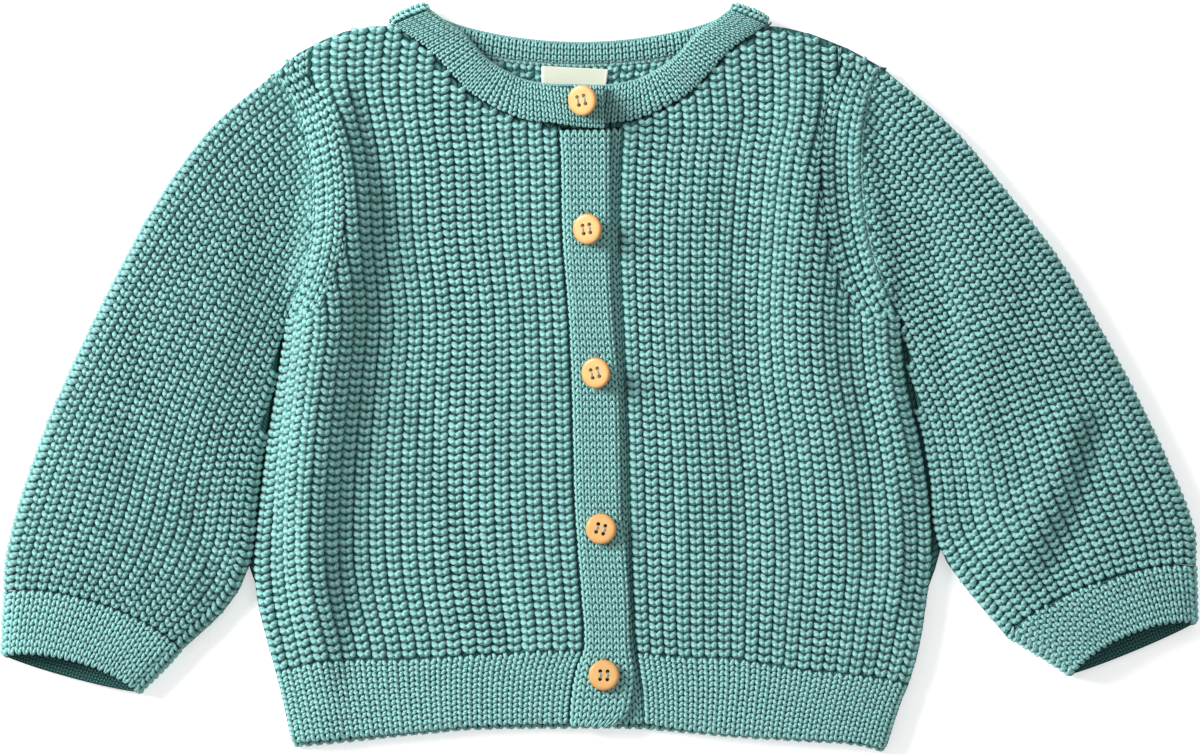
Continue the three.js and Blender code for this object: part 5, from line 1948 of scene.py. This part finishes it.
@dataclass
class Seams:
    """The linked seams at the armholes and the neck, and the stitching round the buttonholes."""

    step: float = 2.6
    neck_step: float = 2.5
    overcast: int = 34
    thread: float = 0.28

    def armhole(self, hand: Hand) -> bpy.types.Object:
        """The chain that joins a sleeve to the body."""
        tube = Tube(hand, "", hand.sleeve, 18, StitchKind.RIB, 3.2, 0.0, hand.creases)

        def face(across: Array, s: Array) -> Array:
            """The seam's face, over the gap between body and sleeve."""
            at = np.clip(s, 0, 1)
            made = tube.point(Lay.UPPER, at, np.zeros(np.shape(at)), -1.1)
            made[..., 0] += hand.sign * (ARMHOLE_GAP * 0.5 + across)
            return made

        s = np.linspace(0, 1, 140)
        at, half = walk(face(np.zeros(140), s), s, self.step, 0.6)
        places = Places(StitchKind.CHAIN)
        places.add_on(face, np.zeros(len(at)), at, (1.2, half), facing=-1, girth=1.1)
        return StitchTree.lay(f"armhole_{hand.name}_seam", places, {"Seed": 51})

    def neck(self, band: "Neckband") -> bpy.types.Object:
        """The loops along the neckband's seam, in front and behind."""
        table = band.lay_out()
        places = Places(StitchKind.CHAIN)

        def face(across: Array, at: Array) -> Array:
            """The seam's face along the band's lower edge."""
            place = np.clip(at, 0, len(table) - 1)
            row = np.stack([np.interp(place, np.arange(len(table)), table[:, i]) for i in range(6)], -1)
            away = row[..., 3:6] - row[..., :3]
            away /= np.linalg.norm(away, axis=-1, keepdims=True)
            made = row[..., :3] + away * (across - 0.35)[..., None]
            made[..., 2] += 0.1
            return made

        at = np.linspace(0.01, len(table) - 1.01, 900)
        chain = face(np.zeros(900), at)
        where, half = walk(chain, at, self.neck_step, 0.5)
        places.add_on(face, np.zeros(len(where)), where, (1.0, half), facing=-1, girth=0.9, lowest=0.2)
        return StitchTree.lay("neckband_seam", places, {"Seed": 52})

    def buttonholes(self, bands: "Bands") -> bpy.types.Object:
        """The overcast edges of the buttonholes."""
        lines = []
        for b in BUTTONS[1:]:
            for a in 2 * math.pi * np.arange(self.overcast) / self.overcast:
                x = b.x + 0.75 * math.cos(a) * np.linspace(0.9, 2.5, 6)
                y = b.y + math.sin(a) * (6.9 + np.linspace(-0.5, 0.9, 6))
                left = read(RIGHT.panel, "y", "band", y) + BAND_GAP * 0.5
                s = (x - left) / (read(BUTTONHOLE_BAND, "y", "right", y) - left)
                z = bands.upper(s, y, 0.1)[:, 2] + 0.25 * np.sin(np.linspace(0, math.pi, 6))
                lines.append(Strand(np.stack([x, y, z], -1), self.thread))
        return dress(threads("buttonhole_stitching", lines, Finishes.thread, 5, 0.7))

    def build(self) -> list[bpy.types.Object]:
        """Builds the seams."""
        made = [self.armhole(hand) for hand in HANDS]
        return [*made, self.neck(Neckband()), self.buttonholes(Bands())]


@dataclass
class Button:
    """A round wooden button with four holes, its thread and its shank."""

    place: ButtonPlace
    radius: float = 6.15
    thick: float = 2.4
    hole: float = 0.74
    spacing: tuple[float, float] = (2.9, 3.2)
    segments: int = 56
    thread_radius: float = 0.2
    shank_radius: float = 0.42
    shank_strands: int = 5

    def settle(self, points: Array) -> Array:
        """Tips, turns and moves points from the button's own place to where it sits."""
        b = self.place
        tip, turn = math.radians(b.tip), math.radians(b.turn)
        x = points[:, 0] * math.cos(tip) - points[:, 2] * math.sin(tip)
        z = points[:, 0] * math.sin(tip) + points[:, 2] * math.cos(tip)
        z = z + b.top + LAYER_GAP + self.radius * math.sin(tip) + self.thick / 2
        turned = [x * math.cos(turn) - points[:, 1] * math.sin(turn) + b.x,
                  x * math.sin(turn) + points[:, 1] * math.cos(turn) + b.y]
        return np.stack([*turned, z], -1)

    def spin(self, profile: Sequence[tuple[float, float]],
             centre: tuple[float, float] = (0, 0)) -> tuple[Array, list]:
        """Turns a profile of radius and height into a closed round solid.

        Args:
            profile: From the axis below to the axis above.
            centre: Where its axis is.

        Returns:
            Points and faces.
        """
        angle = np.linspace(0, 2 * math.pi, self.segments, endpoint=False)
        rings = [np.stack([centre[0] + r * np.cos(angle), centre[1] + r * np.sin(angle),
                           np.full(self.segments, z)], -1) for r, z in profile[1:-1]]
        poles = [(*centre, profile[0][1]), (*centre, profile[-1][1])]
        points = np.concatenate([*rings, poles])
        quads = grid_faces(len(rings), self.segments, 0, True, False).tolist()
        low, high = len(points) - 2, len(points) - 1
        last = (len(rings) - 1) * self.segments
        for k in range(self.segments):
            n = (k + 1) % self.segments
            quads += [(n, k, low), (last + k, last + n, high)]
        return points, quads

    def disc(self) -> bpy.types.Object:
        """The drilled wooden disc."""
        half = self.thick / 2
        profile = [(0, -half), (4.6, -half), (5.4, -0.9), (5.95, -0.4), (self.radius, 0.1), (6.08, 0.5),
                   (5.88, 0.84), (5.5, 1.06), (4.95, half - 0.04), (4.2, half), (2.4, half - 0.03),
                   (0, half - 0.03)]
        disc = mesh_object("disc", *self.spin(profile))
        drills = []
        keep = self.segments
        self.segments = 16
        for sx in (-0.5, 0.5):
            for sy in (-0.5, 0.5):
                centre = (sx * self.spacing[0], sy * self.spacing[1])
                drill = [(0, -3), (self.hole, -3), (self.hole, half - 0.3), (self.hole + 0.12, half - 0.08),
                         (self.hole + 0.3, half + 0.5), (0, half + 0.5)]
                drills.append(mesh_object("drill", *self.spin(drill, centre)))
                cut = disc.modifiers.new("hole", "BOOLEAN")
                cut.operation, cut.solver, cut.object = "DIFFERENCE", "EXACT", drills[-1]
        self.segments = keep
        made = plain_copy(disc, f"{self.place.name}_wood")
        for scrap in (disc, *drills):
            bpy.data.objects.remove(scrap)
        flat = np.empty(len(made.data.vertices) * 3)
        made.data.vertices.foreach_get("co", flat)
        own = flat.reshape(-1, 3) / MM
        rim = np.clip((np.hypot(own[:, 0], own[:, 1]) - 4.3) / 1.6, 0, 1) ** 1.5
        made.data.attributes.new("rim", "FLOAT", "POINT").data.foreach_set("value", rim.astype(np.float32))
        made.data.vertices.foreach_set("co", (self.settle(own) * MM).ravel())
        made.data.materials.clear()
        made.data.materials.append(Finishes.wood)
        made.data.polygons.foreach_set("use_smooth", np.ones(len(made.data.polygons), bool))
        made.data.set_sharp_from_angle(angle=math.radians(40))
        return made

    def thread(self) -> bpy.types.Object:
        """The thread through the holes and the shank below."""
        half = self.thick / 2
        lines: list[Strand] = []
        for sx in (-0.5, 0.5):
            for shift in (-0.17, 0.19):
                y = np.linspace(-1.2, 1.2, 11)
                z = half - 0.75 + 0.82 * np.cos(y / 1.2 * math.pi / 2) ** 0.5
                own = np.stack([sx * self.spacing[0] + shift + 0.07 * y, y, z], -1)
                lines.append(Strand(self.settle(own), self.thread_radius))
        foot = np.array([self.place.x, self.place.y, self.place.under + 0.3])
        head = self.settle(np.array([[0.0, 0.0, -half + 0.2]]))[0]
        for turn in range(self.shank_strands):
            a = 2 * math.pi * turn / self.shank_strands
            away = np.array([math.cos(a), math.sin(a), 0]) * 0.75
            chain = foot + away + (head - foot) * np.linspace(0, 1, 6)[:, None]
            lines.append(Strand(chain, self.shank_radius))
        return threads(f"{self.place.name}_thread", lines, Finishes.thread)

    def build(self) -> list[bpy.types.Object]:
        """Builds the disc and its thread."""
        disc = dress(self.disc(), self.place.name)
        return [disc, dress(self.thread())]


@dataclass
class Label:
    """The bare woven label inside the neck."""

    left: float = -23.2
    right: float = 3.6
    top: float = 124.4
    height: float = 14.0
    skew: float = -1.4
    base: float = 3.3
    thick: float = 0.6

    def build(self) -> list[bpy.types.Object]:
        """Builds the label with a faint curl."""
        s, v = np.meshgrid(np.linspace(0, 1, 41), np.linspace(0, 1, 25))
        x = self.left + (self.right - self.left) * s - 2 * s * v
        y = self.top + self.skew * s - self.height * v
        z = self.base + self.thick + 0.16 * np.sin(s * 5 + v * 2) * v + 0.25 * (np.abs(2 * s - 1) ** 6) * v
        knit = np.stack([s * 44, v * 26], -1)
        outer = np.stack([x, y, z], -1)
        inner = outer - (0, 0, 0.45)
        made = shell("neck_label_tape", outer, inner, knit)
        made.data.materials.clear()
        made.data.materials.append(Finishes.tape)
        edge = np.tile(((s < 0.03) | (s > 0.97)).ravel().astype(np.float32), 2)
        made.data.attributes.new("edge", "FLOAT", "POINT").data.foreach_set("value", edge)
        dress(made, "neck_label")
        return [made]


@dataclass
class Studio:
    """The floor, the lights and the camera."""

    camera_height: float = 2.0
    view_width: float = 0.48
    floor_size: float = 3.0
    floor_drop: float = 0.3
    sky: float = 0.4
    key_power: float = 58.0
    fill_power: float = 4.0

    def light(self, name: str, at: tuple[float, float, float], size: float, power: float) -> None:
        """Adds an area light that looks at the garment."""
        data = bpy.data.lights.new(name, "AREA")
        data.size, data.energy = size, power
        lamp = bpy.data.objects.new(name, data)
        lamp.location = at
        way = -np.array(at)
        lamp.rotation_mode = "QUATERNION"
        lamp.rotation_quaternion = Vector(way.tolist()).to_track_quat("-Z", "Y")
        bpy.context.scene.collection.objects.link(lamp)

    def build(self) -> None:
        """Sets up the studio."""
        scene = bpy.context.scene
        data = bpy.data.cameras.new("camera")
        data.sensor_width = 36.0
        data.lens = 36.0 * (self.camera_height - 0.006) / self.view_width
        camera = bpy.data.objects.new("camera", data)
        camera.location = (0.0002, -0.0004, self.camera_height)
        scene.collection.objects.link(camera)
        scene.camera = camera
        half = self.floor_size * 500
        signs = ((-1, -1), (1, -1), (1, 1), (-1, 1))
        corners = np.array([(x * half, y * half, -self.floor_drop) for x, y in signs])
        floor = mesh_object("floor", corners, np.array([[0, 1, 2, 3]]), Finishes.floor)
        world = bpy.data.worlds.new("world")
        world.use_nodes = True
        world.node_tree.nodes["Background"].inputs[0].default_value = (1, 1, 1, 1)
        world.node_tree.nodes["Background"].inputs[1].default_value = self.sky
        scene.world = world
        self.light("key", (-1.55, 0.7, 0.92), 0.8, self.key_power)
        self.light("fill", (0.6, 1.0, 1.5), 1.2, self.fill_power)
        scene.view_settings.view_transform = "Standard"


def main() -> None:
    """Builds the cardigan piece by piece and the studio round it."""
    logging.basicConfig(level=logging.INFO, format="%(message)s")
    Finishes.build()
    StitchTree.build()
    made: list[bpy.types.Object] = []
    made += Back().build()
    for hand in HANDS:
        made += Front(hand).build()
        made += FrontHem(hand).build()
        made += Tube(hand, f"sleeve_{hand.name}", hand.sleeve, 18, StitchKind.RIB, 3.2, -0.9,
                     hand.creases).build()
        made += Tube(hand, f"cuff_{hand.name}", hand.cuff, 21, StitchKind.PLAIN, 2.8, -0.35).build()
    made += Neckband().build()
    made += Bands().build()
    made += Seams().build()
    for place in BUTTONS:
        made += Button(place).build()
    made += Label().build()
    StitchTree.clear()
    Studio().build()
    total = sum(len(p.vertices) - 2 for piece in made for p in piece.data.polygons)
    LOG.info("%d pieces, %d triangles", len(made), total)


if __name__ == "__main__":
    main()
